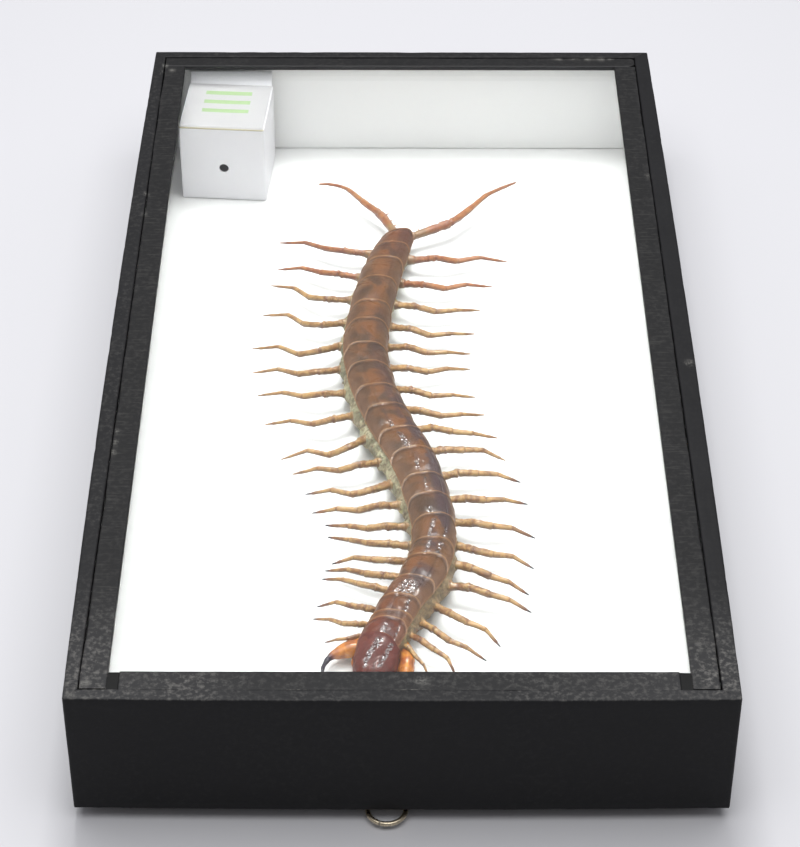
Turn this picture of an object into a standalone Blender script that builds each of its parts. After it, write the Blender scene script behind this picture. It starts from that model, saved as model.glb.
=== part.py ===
"""Framed centipede: a shallow black display box with a glass front, lined with white
card, that holds one large dried centipede and a small card box of moth repellent,
with a ring hanger screwed to its back.

Metres, +Z up. The box lies on its back, so +Z points out of the glass and -Y is the
end with the hanger, which is the top when the box hangs on a wall. Everything is
placed from an empty at the middle of the box's back face."""

import math

import bmesh
import bpy
import numpy as np
from mathutils import Matrix, Vector

MM = 0.001
GAP = 0.3 * MM  # clearance between pieces that touch in the real object

# Box of four mitred boards
WIDTH = 150.6 * MM  # across the two ends
LENGTH = 280.8 * MM
DEPTH = 35.1 * MM
WALL = 3.2 * MM
WALL_RIGHT = 4.2 * MM  # the right board is the thickest
LEFT_BOW = 1.0 * MM  # how far the left board bulges outwards at mid-length
RIGHT_BOW = 0.65 * MM
NEAR_BOW = 0.6 * MM  # the same for the board at the hanger's end
BOW_SPANS = 5  # straight spans in each half of a bowed board
WALL_EASE = 0.4 * MM  # flat on the boards' edges
BOARD_THICK = 1.3 * MM
CARD_THICK = 0.45 * MM
CARD_TOP = BOARD_THICK + GAP + CARD_THICK

# Glass, the strips that hold it down, and the card liners under it
GLASS_THICK = 2.0 * MM
STRIP_THICK = 1.6 * MM
STRIP_DROP = 0.2 * MM  # the strips lie this far below the rim
OPENING_LEFT = -65.8 * MM
OPENING_RIGHT = 64.65 * MM
OPENING_NEAR = -131.4 * MM
OPENING_FAR = 132.2 * MM
LINER_THICK = 1.3 * MM
STRIP_LOW = DEPTH - STRIP_DROP - STRIP_THICK
GLASS_LOW = STRIP_LOW - GAP - GLASS_THICK
# Room between the boards
INNER_LEFT = WALL - WIDTH / 2 + GAP
INNER_RIGHT = WIDTH / 2 - WALL_RIGHT - GAP
INNER_Y = LENGTH / 2 - WALL - GAP

# Card box of moth repellent in the far left corner
REPELLENT_SIDE = 25.5 * MM
REPELLENT_CARD = 0.7 * MM
REPELLENT_PLACE = (-52.9 * MM, 119.5 * MM)
REPELLENT_TURN = math.radians(-4.1)
FLAP_SIDE = 0.3 * MM  # how far the flap behind the lid stays inside the box's sides
FLAP_CARD = 0.8 * MM
VENT_RADIUS = 1.2 * MM
VENT_SIDE = 0.3 * MM  # from the middle of its face, to +X
VENT_UP = 11.0 * MM

# Hanger: a ring in the curled end of a strap that one screw holds
RING_X = -3.5 * MM
RING_RADIUS = 4.4 * MM  # to the middle of the wire
WIRE_RADIUS = 0.6 * MM
RING_CENTRE_Y = -139.0 * MM
RING_STEPS = 28
WIRE_STEPS = 8
STRAP_THICK = 0.5 * MM
CURL_RADIUS = 1.6 * MM
CURL_BORE = 1.05 * MM
CURL_LONG = 3.0 * MM
PLATE_RADIUS = 4.0 * MM
SCREW_BACK = 9.0 * MM  # from the hinge to the screw
# The screw's outline, mm: radius, and height over the underside of its head
SCREW_OUTLINE_MM = ((0, 1.8), (0.9, 1.8), (1.3, 1.2), (1.3, 0), (2.7, 0), (2.7, -0.4), (2, -1.1), (0, -1.4))
SCREW_HEAD_UNDER = -2 * GAP - STRAP_THICK
HOLE_RADIUS = 1.3 * MM + GAP
HOLE_DEEP = 1.0 * MM
SLOT_LONG = 3.4 * MM
SLOT_WIDE = 0.7 * MM
SLOT_DEEP = 0.7 * MM
HINGE_Y = RING_CENTRE_Y + RING_RADIUS
HINGE_Z = -GAP - CURL_RADIUS

# The lowest point is the strap's curl and the furthest one is the ring's rim, so the
# box's own middle lies a little off the middle of the whole object.
BACK_Z = GAP + 2 * CURL_RADIUS
RING_REACH = -LENGTH / 2 - (RING_CENTRE_Y - RING_RADIUS - WIRE_RADIUS)
BOX_Y = RING_REACH / 2

# Centipede. Its midline from tail to head, in mm from the middle of the box.
MIDLINE_MM = ((1, 86), (-4, 68), (-8, 48), (-10.5, 26), (-9.5, 10), (-5, -9), (1.5, -26), (6, -43),
              (8, -58), (6, -71), (0, -83), (-5, -94), (-6.5, -102), (-7, -108))
# Lengths of the 21 leg-bearing segments from tail to head, mm
SEGMENTS_MM = (5, 13.5, 10.5, 11, 10.5, 10, 10, 10, 9, 10, 10, 10, 8.5, 8.5, 8.5, 6.5, 8, 6.5, 7, 4.5, 5.5)
TAIL_START = 4.0 * MM  # where the tail begins on the midline
# Along the midline, mm: (place, whole width) and (place, lean of the back to +X)
BODY_WIDTH_MM = ((0, 5), (5, 7.6), (9, 9.4), (15, 11), (33, 12.2), (60, 12.9), (90, 14),
                 (112, 14.2), (130, 13), (147, 11.4), (160, 12.6), (170, 12.2), (180, 11), (188, 10.6))
BODY_LEAN_MM = ((0, 0.8), (22, 0), (40, 0.3), (62, 0.3), (80, 0.8), (95, 1.6), (115, 1.8), (128, 1.2),
                (140, 1), (150, 0.3), (160, -0.7), (172, -0.9), (183, 0.3), (200, 0.3))
BODY_MIDDLE = 4.3 * MM  # height of the widest line over the card
BODY_UP = 4.8 * MM  # from there to the ridge of the back
BODY_DOWN = BODY_MIDDLE - GAP
BODY_RISE = ((4, 0.5), (40, 1), (168, 1), (187, 0.8))  # share of that height, by place in mm
TAIL_TIP = 0.6  # size of the rounded end of the tail, as a part of the last segment
SECTION_POINTS = 16
SECTION_ROUND = 0.8  # power that makes the oval section a little squarer
TAIL_ROUND = 0.8 * MM  # from the tail's end ring to its first plate
# Sizes of a segment's section at its rear edge, its middle and its front, which the
# next plate overlaps
PLATE_SHAPE = ((0.02, 1.03), (0.5, 1.0), (0.98, 0.89))

# Legs from the tail forward: (reach mm, turn in degrees towards the tail, and how far
# the path lies tailward of its chord at one third and at two thirds, mm)
LEFT_LEGS = (
    (28, 17, -2.5, 0), (24.5, 15, -1.5, 0.5), (25, 22, -4.5, -1), (24, 14, -5, -0.5),
    (24.5, 2, -5.5, -1.5), (24, 2, -3.5, -0.5), (23.5, 4, -2.5, -0.5), (23, -3, -3.5, -1),
    (22, -15, -4.5, -0.5), (22, -6, -2.5, -0.5), (21.5, -4, -4, -1), (22, -2, -1.5, -0.5),
    (20.5, 7, -2, -1.5), (21.5, 14, -2, -1.5), (19, 2, -1, 1), (19.5, 12, -1.5, 0),
    (18.5, 20, -1, 0), (15.5, 10, -1, 1), (14.5, 13, -2.5, -1), (9.5, -6, -1.5, -1),
)
RIGHT_LEGS = (
    (28.5, 3, -2, 0), (26, 1, -3.5, -1.5), (24, -1, -3.5, -3), (23.5, -3, -3.5, -3),
    (23, -2, -2, -2), (22.5, 4, -3, -2), (22, -4, -2.5, -2), (22, -1, -3, -2.5),
    (22.5, -4, -0.5, -0.5), (20.5, -5, 0, 2), (21, -1, 0.5, 1.5), (20.5, 0, -1, 0),
    (21, -12, -0.5, 1), (20.5, -20, -1.5, 1), (20, -27, -0.5, 0.5), (21, -20, 0.5, 1),
    (19.5, -38, -0.5, 1.5), (19, -36, -1.5, -0.5), (15.5, -48, 0, 1.5), (11, -58, 0, 0.5),
)
# Where along its segment a leg leaves it, by its count from the tail
LEG_PLACE = ((0, 0.55), (4, 0.6), (8, 0.72), (12, 0.8), (15, 0.7), (18, 0.75), (19, 0.55))
LEG_HEIGHTS_MM = (4.3, 4.5, 5.3, 4.2, 2.5)  # over the card: in the body, root, thirds, tip
LEG_RADII_MM = ((0, 1.1), (0.3, 1.35), (0.5, 1.05), (0.75, 0.75), (0.92, 0.45), (1, 0.12))
LEG_POINTS = 8
LEG_GIRTH = ((0, 1), (15, 1), (19, 0.6))  # as a part of that, by its count from the tail
# The long last pair, mm from the middle of the box: (x, y, height over the card)
TAIL_LEGS_MM = {
    "left": ((0, 80, 4.5), (-2.5, 83, 4.8), (-6, 90.5, 5.2), (-10.5, 96, 5.5), (-17, 105, 5.5),
             (-25, 107.5, 5)),
    "right": ((0.5, 79.5, 4.5), (4, 80.5, 4.8), (13, 85, 5.5), (17.5, 89, 5.8), (22, 95.5, 5.8),
              (26.5, 102, 5.5), (35, 109, 5)),
}
TAIL_LEG_POINTS = 10
TAIL_LEG_RADII_MM = ((0, 1.5), (0.25, 1.6), (0.5, 1.15), (0.75, 0.8), (1, 0.2))

# Head and what it carries
HEAD_GAP = 0.3 * MM
HEAD_LONG = 12.0 * MM
HEAD_HALF_WIDTH = 5.5 * MM
# Along the head: (place, width, height), each as a part of the whole
HEAD_SHAPE = ((0, 0.72, 0.8), (0.12, 0.93, 0.95), (0.45, 1, 1), (0.75, 0.92, 0.94), (0.92, 0.68, 0.76),
              (1, 0.38, 0.5))
HEAD_MIDDLE = 4.2 * MM
HEAD_UP = 3.8 * MM
HEAD_DOWN = 2.6 * MM
# Poison claws and antennae from their roots, mm: (x, y, height over the card)
FORCIPULES_MM = {
    "left": ((-12, -94.6, 3.2), (-14.8, -95.4, 3.3), (-17, -97.4, 3.4), (-18.6, -101.2, 3.3),
             (-18.4, -105, 3)),
    "right": ((1.1, -95.6, 3), (1.6, -99, 3), (1.6, -103, 3), (-0.6, -107.6, 3), (-3.5, -110.5, 2.6)),
}
FORCIPULE_RADII_MM = ((0, 1.3), (0.22, 1.75), (0.5, 1.3), (0.75, 0.75), (1, 0.12))
ANTENNAE_MM = {
    "left": ((-9.4, -108.6, 4.6), (-13, -114.5, 5.4), (-20.5, -120.5, 5.6), (-30, -124, 5),
             (-38, -124.5, 4.4)),
    "right": ((-5.2, -109.4, 4.6), (-1.5, -115.5, 5.4), (6, -121, 5.6), (15.5, -124, 5),
              (23.5, -124.5, 4.4)),
}
FEELER_POINTS = 9  # along each claw and antenna
ANTENNA_RADII_MM = ((0, 0.75), (0.3, 0.65), (0.7, 0.45), (1, 0.25))

parts = bpy.data.collections.new("framed_centipede")
cutters = bpy.data.collections.new("cutters")


def material(name, colour, roughness, metallic=0.0, transmission=0.0):
    """A Principled material in one colour, which is given as linear RGB."""
    made = bpy.data.materials.new(name)
    made.use_nodes = True
    shader = made.node_tree.nodes["Principled BSDF"]
    shader.inputs["Base Color"].default_value = (*colour, 1.0)
    shader.inputs["Roughness"].default_value = roughness
    shader.inputs["Metallic"].default_value = metallic
    shader.inputs["Transmission Weight"].default_value = transmission
    return made


def place(obj, finish=None, parent=None, location=(0, 0, 0), turn=0.0):
    """Link a part at its place under its parent, with its material."""
    parts.objects.link(obj)
    obj.parent = parent
    obj.location = location
    obj.rotation_euler = (0, 0, turn)
    if finish is not None:
        obj.data.materials.append(finish)
    return obj


def empty(name, location, parent=None):
    """An empty that carries other parts."""
    return place(bpy.data.objects.new(name, None), parent=parent, location=location)


def mesh_object(name, bm):
    """Turn a bmesh into an object and free the bmesh."""
    mesh = bpy.data.meshes.new(name)
    bm.to_mesh(mesh)
    bm.free()
    return bpy.data.objects.new(name, mesh)


def block(name, low, high):
    """A box between two corners, with its origin in its middle, and that middle."""
    low, high = Vector(low), Vector(high)
    bm = bmesh.new()
    bmesh.ops.create_cube(bm, size=1.0, matrix=Matrix.Diagonal((*(high - low), 1.0)))
    return mesh_object(name, bm), (low + high) / 2


def cylinder(name, radius, length, sides, matrix):
    """A capped cylinder along its own Z, moved by a matrix inside its mesh."""
    bm = bmesh.new()
    bmesh.ops.create_cone(bm, cap_ends=True, segments=sides, radius1=radius, radius2=radius,
                          depth=length, matrix=matrix)
    return mesh_object(name, bm)


def cutter(obj, parent=None, location=(0, 0, 0), turn=0.0):
    """Put an object among the cutters, at its place under the same parent."""
    cutters.objects.link(obj)
    obj.parent = parent
    obj.location = location
    obj.rotation_euler = (0, 0, turn)
    obj.hide_render = True
    obj.display_type = "WIRE"
    return obj


def boolean(obj, tool, operation="DIFFERENCE"):
    """Cut or join one object with another, or with a whole collection."""
    change = obj.modifiers.new(tool.name, "BOOLEAN")
    change.operation = operation
    change.solver = "EXACT"
    if isinstance(tool, bpy.types.Collection):
        change.operand_type = "COLLECTION"
        change.collection = tool
    else:
        change.object = tool
    return obj


def ease(obj, width):
    """A small flat on every sharp edge, after the loose caps are welded."""
    weld = obj.modifiers.new("weld", "WELD")
    weld.merge_threshold = 0.01 * MM
    bevel = obj.modifiers.new("ease", "BEVEL")
    bevel.width = width
    bevel.segments = 1
    return obj


def plate(name, outline, thickness):
    """A flat outline of (x, y) points, filled and extruded about its own plane."""
    curve = bpy.data.curves.new(name, "CURVE")
    curve.dimensions = "2D"
    curve.fill_mode = "BOTH"
    curve.extrude = thickness / 2
    spline = curve.splines.new("POLY")
    spline.points.add(len(outline) - 1)
    for point, (x, y) in zip(spline.points, outline):
        point.co = (x, y, 0, 1)
    spline.use_cyclic_u = True
    return bpy.data.objects.new(name, curve)


def rod(name, path, radii, bevel_resolution=1):
    """A round rod along a path, with a radius at every point and filled caps."""
    curve = bpy.data.curves.new(name, "CURVE")
    curve.dimensions = "3D"
    curve.bevel_depth = 1.0
    curve.bevel_resolution = bevel_resolution
    curve.use_fill_caps = True
    spline = curve.splines.new("POLY")
    spline.points.add(len(path) - 1)
    for point, place_at, radius in zip(spline.points, path, radii):
        point.co = (*place_at, 1)
        point.radius = radius
    return bpy.data.objects.new(name, curve)


def as_mesh(obj):
    """The mesh of a curve object, with its caps welded; the curve is removed."""
    bpy.context.scene.collection.objects.link(obj)
    bpy.context.view_layer.update()
    seen = obj.evaluated_get(bpy.context.evaluated_depsgraph_get())
    mesh = bpy.data.meshes.new_from_object(seen)
    mesh.transform(obj.matrix_world)
    name = obj.name
    bpy.data.objects.remove(obj)
    bm = bmesh.new()
    bm.from_mesh(mesh)
    bmesh.ops.remove_doubles(bm, verts=bm.verts, dist=0.001 * MM)
    bmesh.ops.recalc_face_normals(bm, faces=bm.faces)
    bpy.data.meshes.remove(mesh)
    return mesh_object(name, bm)


def loft(name, rings):
    """A closed skin through rings of equally many points, capped at both ends."""
    bm = bmesh.new()
    rows = [[bm.verts.new(point) for point in ring] for ring in rings]
    for near, far in zip(rows, rows[1:]):
        for i, corner in enumerate(near):
            after = (i + 1) % len(near)
            bm.faces.new((corner, near[after], far[after], far[i]))
    bm.faces.new(rows[0][::-1])
    bm.faces.new(rows[-1])
    bmesh.ops.recalc_face_normals(bm, faces=bm.faces)
    return mesh_object(name, bm)


def smooth_path(points, steps):
    """Points on a smooth curve through the given ones (a Catmull-Rom spline), with
    this many steps in each span."""
    given = np.asarray(points, float)
    padded = np.vstack([2 * given[0] - given[1], given, 2 * given[-1] - given[-2]])
    t = np.linspace(0, 1, steps, endpoint=False)[:, None]
    spans = []
    for a, b, c, d in zip(padded, padded[1:], padded[2:], padded[3:]):
        spans.append(0.5 * (2 * b + (c - a) * t + (2 * a - 5 * b + 4 * c - d) * t ** 2
                            + (3 * b - a - 3 * c + d) * t ** 3))
    return np.vstack([*spans, given[-1:]])


def along(path):
    """Distance of each point of a path from its start."""
    return np.concatenate([[0.0], np.cumsum(np.linalg.norm(np.diff(path, axis=0), axis=1))])


def even_path(points, count):
    """A smooth curve through the given points, read at evenly spaced places, and how
    far along it each lies, from 0 to 1."""
    fine = smooth_path(points, 12)
    length = along(fine)
    share = np.linspace(0, 1, count)
    places = share * length[-1]
    return np.stack([np.interp(places, length, column) for column in fine.T], axis=1), share


def table(rows, place_mm):
    """Read a list of (place, value) rows in mm at one place."""
    places, values = zip(*rows)
    return float(np.interp(place_mm, places, values))


MIDLINE = smooth_path(MIDLINE_MM, 40) * MM
MIDLINE_AT = along(MIDLINE)


def midline(s):
    """The point of the midline at distance s from its tail end, and the unit vector
    across the body there, which points to its +X side."""
    def at(distance):
        return np.array([np.interp(distance, MIDLINE_AT, column) for column in MIDLINE.T])
    step = 0.5 * MM
    forward = at(s + step) - at(s - step)
    forward /= np.linalg.norm(forward)
    return at(s), np.array([-forward[1], forward[0]])


def half_width(s):
    """Half of the body's width at a place on the midline."""
    return table(BODY_WIDTH_MM, s / MM) * MM / 2


def section(s, half, up, down, middle, lean=0.0):
    """A ring across the body: a flattened oval whose back leans sideways."""
    centre, across = midline(s)
    ring = []
    for i in range(SECTION_POINTS):
        angle = 2 * math.pi * i / SECTION_POINTS
        flat = math.copysign(abs(math.cos(angle)) ** SECTION_ROUND, math.cos(angle))
        tall = math.copysign(abs(math.sin(angle)) ** SECTION_ROUND, math.sin(angle))
        x, y = centre + across * (half * flat + lean * max(math.sin(angle), 0.0))
        ring.append((x, y, CARD_TOP + middle + tall * (up if tall > 0 else down)))
    return ring


def trunk_ring(s, size):
    """The body's section at a place on its midline, in a part of its full size. Its
    underside stays on the card."""
    up = BODY_UP * table(BODY_RISE, s / MM) * size
    lean = table(BODY_LEAN_MM, s / MM) * MM
    return section(s, half_width(s) * size, up, BODY_DOWN, BODY_MIDDLE, lean)


def trunk_rings():
    """A small ring for the tail's end, then three rings a segment: its raised rear edge,
    its middle and its narrower front."""
    rings = [trunk_ring(TAIL_START - TAIL_ROUND, TAIL_TIP)]
    s = TAIL_START
    for length_mm in SEGMENTS_MM:
        rings += [trunk_ring(s + length_mm * MM * share, size) for share, size in PLATE_SHAPE]
        s += length_mm * MM
    return rings


def leg_path(index, side):
    """Path of one of the 20 ordinary legs on one side (-1 left, 1 right), counted
    from the tail, from inside the body to the claw."""
    reach, turn, bow_a, bow_b = (LEFT_LEGS if side < 0 else RIGHT_LEGS)[index]
    rear = TAIL_START / MM + sum(SEGMENTS_MM[:index + 1])
    s = (rear + SEGMENTS_MM[index + 1] * table(LEG_PLACE, index)) * MM
    centre, across = midline(s)
    turn = math.radians(turn)
    chord = np.array([side * math.cos(turn), math.sin(turn)]) * reach * MM
    tailward = np.array([-side * math.sin(turn), math.cos(turn)]) * MM
    root = centre + side * across * half_width(s)
    flat = (centre + side * across * half_width(s) * 0.5, root, root + chord / 3 + tailward * bow_a,
            root + chord * 2 / 3 + tailward * bow_b, root + chord)
    return [(*xy, CARD_TOP + h * MM) for xy, h in zip(flat, LEG_HEIGHTS_MM)]


def radii_along(rows, share, slim=1.0):
    """Radii at the given shares of a path's length."""
    places, values = zip(*rows)
    return np.interp(share, places, values) * MM * slim


def from_mm(points):
    """Points given in mm with a height over the card, in the box's own frame."""
    return [(x * MM, y * MM, CARD_TOP + h * MM) for x, y, h in points]


def legs():
    """Every leg as a closed mesh in the cutters, ready to be joined to the trunk."""
    pairs = bpy.data.collections.new("legs")
    cutters.children.link(pairs)
    made = []
    for index in range(len(LEFT_LEGS)):
        count = len(LEFT_LEGS) - index
        slim = table(LEG_GIRTH, index)
        for side, word in ((-1, "left"), (1, "right")):
            path, share = even_path(leg_path(index, side), LEG_POINTS)
            made.append(rod(f"leg_{word}_{count}", path, radii_along(LEG_RADII_MM, share, slim)))
    for word, points in TAIL_LEGS_MM.items():
        path, share = even_path(from_mm(points), TAIL_LEG_POINTS)
        made.append(rod(f"leg_{word}_last", path, radii_along(TAIL_LEG_RADII_MM, share)))
    for curve in made:
        leg = as_mesh(curve)
        pairs.objects.link(leg)
        leg.parent = box
        leg.hide_render = True
        leg.display_type = "WIRE"
    return pairs


def centipede():
    """The trunk with its 21 pairs of legs, the head, the poison claws and antennae."""
    cuticle = material("cuticle_brown", (0.13, 0.055, 0.035), 0.35)
    trunk = place(loft("centipede_trunk", trunk_rings()), cuticle, box)
    boolean(trunk, legs(), "UNION")

    start = sum(SEGMENTS_MM) * MM + TAIL_START + HEAD_GAP
    rings = [section(start + HEAD_LONG * share, HEAD_HALF_WIDTH * wide, HEAD_UP * tall,
                     HEAD_DOWN * tall, HEAD_MIDDLE) for share, wide, tall in HEAD_SHAPE]
    place(loft("centipede_head", rings), material("head_red_brown", (0.16, 0.05, 0.035), 0.25), box)

    claw = material("forcipule_orange", (0.35, 0.11, 0.02), 0.3)
    feeler = material("antenna_tan", (0.30, 0.15, 0.05), 0.5)
    for kind, paths, finish, radii in (
        ("forcipule", FORCIPULES_MM, claw, FORCIPULE_RADII_MM),
        ("antenna", ANTENNAE_MM, feeler, ANTENNA_RADII_MM),
    ):
        for word, points in paths.items():
            path, share = even_path(from_mm(points), FEELER_POINTS)
            place(as_mesh(rod(f"{kind}_{word}", path, radii_along(radii, share))), finish, box)


def walls():
    """Four boards mitred at the corners. Three bulge outwards, and the long ones are cut
    short by the gap. Each has its own thickness and those of its neighbours."""
    finish = material("black_paper_wrap", (0.018, 0.018, 0.02), 0.6)
    mitre_gap = GAP * math.sqrt(2)
    for name, half, thick, next_to, bow, location, turn in (
        ("wall_near", WIDTH / 2, WALL, (WALL, WALL_RIGHT), NEAR_BOW, (0, -LENGTH / 2), 0),
        ("wall_right", LENGTH / 2 - mitre_gap, WALL_RIGHT, (WALL, WALL), RIGHT_BOW,
         (WIDTH / 2, 0), 90),
        ("wall_far", WIDTH / 2, WALL, (WALL_RIGHT, WALL), 0.0, (0, LENGTH / 2), 180),
        ("wall_left", LENGTH / 2 - mitre_gap, WALL, (WALL, WALL), LEFT_BOW,
         (-WIDTH / 2, 0), 270),
    ):
        steps = [i / BOW_SPANS for i in range(-BOW_SPANS, BOW_SPANS + 1)] if bow else [-1, 1]
        outer = [(half * t, -bow * (1 - t * t)) for t in steps]
        inner = [(half - next_to[1], thick), (next_to[0] - half, thick)]
        board = ease(plate(name, outer + inner, DEPTH), WALL_EASE)
        place(board, finish, box, (*location, DEPTH / 2), math.radians(turn))


def back_and_ground():
    """The hardboard back with the screw's blind hole, and the white card on it."""
    obj, middle = block("back_board", (INNER_LEFT, -INNER_Y, 0), (INNER_RIGHT, INNER_Y, BOARD_THICK))
    place(obj, material("hardboard_brown", (0.12, 0.07, 0.04), 0.8), box, middle)
    hole = cylinder("screw_hole", HOLE_RADIUS, 2 * HOLE_DEEP, 16, Matrix.Identity(4))
    boolean(obj, cutter(hole, box, (RING_X, HINGE_Y + SCREW_BACK, 0)))

    obj, middle = block("backing_card", (INNER_LEFT, -INNER_Y, BOARD_THICK + GAP),
                        (INNER_RIGHT, INNER_Y, CARD_TOP))
    place(obj, material("white_card", (0.86, 0.86, 0.85), 0.8), box, middle)


def frame_lining():
    """The card liners round the inside, the glass on them and the black strips on it.
    The near and far liners and the far strip run the full width. The side strips run
    from the far one to the near board, and the near strip lies between them."""
    low, high = CARD_TOP + GAP, GLASS_LOW - GAP
    white = material("white_liner", (0.80, 0.80, 0.79), 0.8)
    black = material("black_strip", (0.02, 0.02, 0.022), 0.6)
    between = INNER_Y - LINER_THICK - GAP
    strip_top = STRIP_LOW + STRIP_THICK
    boxes = (
        ("liner_near", white, (INNER_LEFT, -INNER_Y, low),
         (INNER_RIGHT, LINER_THICK - INNER_Y, high)),
        ("liner_far", white, (INNER_LEFT, INNER_Y - LINER_THICK, low),
         (INNER_RIGHT, INNER_Y, high)),
        ("liner_left", white, (INNER_LEFT, -between, low),
         (INNER_LEFT + LINER_THICK, between, high)),
        ("liner_right", white, (INNER_RIGHT - LINER_THICK, -between, low),
         (INNER_RIGHT, between, high)),
        ("strip_near", black, (OPENING_LEFT + GAP, -INNER_Y, STRIP_LOW),
         (OPENING_RIGHT - GAP, OPENING_NEAR, strip_top)),
        ("strip_far", black, (INNER_LEFT, OPENING_FAR, STRIP_LOW),
         (INNER_RIGHT, INNER_Y, strip_top)),
        ("strip_left", black, (INNER_LEFT, -INNER_Y, STRIP_LOW),
         (OPENING_LEFT, OPENING_FAR - GAP, strip_top)),
        ("strip_right", black, (OPENING_RIGHT, -INNER_Y, STRIP_LOW),
         (INNER_RIGHT, OPENING_FAR - GAP, strip_top)),
    )
    for name, finish, near, far in boxes:
        obj, middle = block(name, near, far)
        place(obj, finish, box, middle)
    obj, middle = block("glass_pane", (INNER_LEFT, -INNER_Y, GLASS_LOW),
                        (INNER_RIGHT, INNER_Y, GLASS_LOW + GLASS_THICK))
    place(obj, material("clear_glass", (0.95, 0.97, 0.96), 0.03, transmission=1.0), box, middle)


def repellent_flap(half, high):
    """A flap behind the lid: it rises from the lid's far edge and leans on the far liner,
    so its foot follows the turned box and its top follows the liner."""
    top_y, top_z = INNER_Y - LINER_THICK - GAP, GLASS_LOW - 2 * GAP
    rings = []
    for x in (FLAP_SIDE - half, half - FLAP_SIDE):
        foot = Matrix.Rotation(REPELLENT_TURN, 3, "Z") @ Vector((x, half, 0)) + Vector((*REPELLENT_PLACE, 0))
        rings.append([(foot.x, foot.y - FLAP_CARD, high - REPELLENT_CARD / 2),
                      (foot.x, foot.y - REPELLENT_CARD / 2, high - REPELLENT_CARD),
                      (foot.x, top_y, top_z - FLAP_CARD / 2), (foot.x, top_y - FLAP_CARD, top_z)])
    return cutter(loft("repellent_flap", rings), box)


def repellent_box():
    """A folded card cube, hollow, with one vent hole in the face towards the head and a
    flap behind its lid."""
    half = REPELLENT_SIDE / 2
    low, high = CARD_TOP + GAP, CARD_TOP + REPELLENT_SIDE
    location = (*REPELLENT_PLACE, (low + high) / 2)
    tall = (high - low) / 2
    obj, _ = block("repellent_box", (-half, -half, -tall), (half, half, tall))
    place(obj, material("box_card", (0.72, 0.72, 0.74), 0.7), box, location, REPELLENT_TURN)
    boolean(obj, repellent_flap(half, high), "UNION")
    inside = half - REPELLENT_CARD
    hollow, _ = block("repellent_hollow", (-inside, -inside, REPELLENT_CARD - tall),
                      (inside, inside, tall - REPELLENT_CARD))
    boolean(obj, cutter(hollow, box, location, REPELLENT_TURN))
    aim = Matrix.Translation((VENT_SIDE, -half, VENT_UP - tall)) @ Matrix.Rotation(math.pi / 2, 4, "X")
    vent = cylinder("repellent_vent", VENT_RADIUS, 4 * REPELLENT_CARD, 12, aim)
    boolean(obj, cutter(vent, box, location, REPELLENT_TURN))


def hanger():
    """The strap with its curled end, its screw, and the ring on the hinge's axis."""
    steel = material("plated_steel", (0.55, 0.52, 0.46), 0.35, metallic=1.0)
    hinge = empty("hanger_hinge", (RING_X, HINGE_Y, HINGE_Z), box)

    # A round end about the screw that narrows to the width of the curl
    turns = [math.radians(a) for a in range(-60, 241, 20)]
    outline = [(PLATE_RADIUS * math.cos(a), SCREW_BACK + PLATE_RADIUS * math.sin(a)) for a in turns]
    half, waist = CURL_LONG / 2, SCREW_BACK / 3
    outline += [(-half, waist), (-half, 0), (half, 0), (half, waist)]
    strap = place(as_mesh(plate("hanger_strap", outline, STRAP_THICK)), steel, hinge,
                  (0, 0, CURL_RADIUS - STRAP_THICK / 2))
    across = Matrix.Rotation(math.pi / 2, 4, "Y")
    boolean(strap, cutter(cylinder("curl", CURL_RADIUS, CURL_LONG, 20, across), hinge), "UNION")
    boolean(strap, cutter(cylinder("curl_bore", CURL_BORE, 2 * CURL_LONG, 20, across), hinge))
    hole = cylinder("strap_hole", HOLE_RADIUS, 4 * STRAP_THICK, 16, Matrix.Identity(4))
    boolean(strap, cutter(hole, hinge, (0, SCREW_BACK, CURL_RADIUS)))

    # The screw's outline turned about Z, and the cross cut in its head
    profile = [(radius * MM, 0, SCREW_HEAD_UNDER + up * MM) for radius, up in SCREW_OUTLINE_MM]
    mesh = bpy.data.meshes.new("hanger_screw")
    mesh.from_pydata(profile, [(i, i + 1) for i in range(len(profile) - 1)], [])
    screw = place(bpy.data.objects.new("hanger_screw", mesh), steel, box, (RING_X, HINGE_Y + SCREW_BACK, 0))
    turned = screw.modifiers.new("turned", "SCREW")
    turned.steps = 20
    turned.render_steps = 20
    turned.use_merge_vertices = True
    turned.merge_threshold = 0.01 * MM
    head_top = profile[-1][2]
    for name, long, wide in (("slot_across", SLOT_LONG, SLOT_WIDE), ("slot_along", SLOT_WIDE, SLOT_LONG)):
        tool, middle = block(name, (-long / 2, -wide / 2, head_top - SLOT_DEEP),
                             (long / 2, wide / 2, head_top + SLOT_DEEP))
        boolean(screw, cutter(tool, screw, middle))

    bpy.ops.mesh.primitive_torus_add(major_radius=RING_RADIUS, minor_radius=WIRE_RADIUS,
                                     major_segments=RING_STEPS, minor_segments=WIRE_STEPS)
    ring = bpy.context.object
    ring.name = "hanger_ring"
    ring.users_collection[0].objects.unlink(ring)
    ring.data.transform(Matrix.Translation((0, -RING_RADIUS, 0)))
    place(ring, material("ring_brass", (0.60, 0.50, 0.33), 0.3, metallic=1.0), hinge)


def shade_round(obj, degrees=35):
    """Smooth shading with the sharper edges kept."""
    if obj.type == "MESH":
        obj.data.shade_smooth()
        obj.data.set_sharp_from_angle(angle=math.radians(degrees))


for old in list(bpy.data.objects):
    bpy.data.objects.remove(old)
bpy.context.scene.collection.children.link(parts)
bpy.context.scene.collection.children.link(cutters)
box = empty("box_origin", (0, BOX_Y, BACK_Z))

walls()
back_and_ground()
frame_lining()
repellent_box()
centipede()
hanger()
for part in parts.objects:
    shade_round(part)
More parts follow.
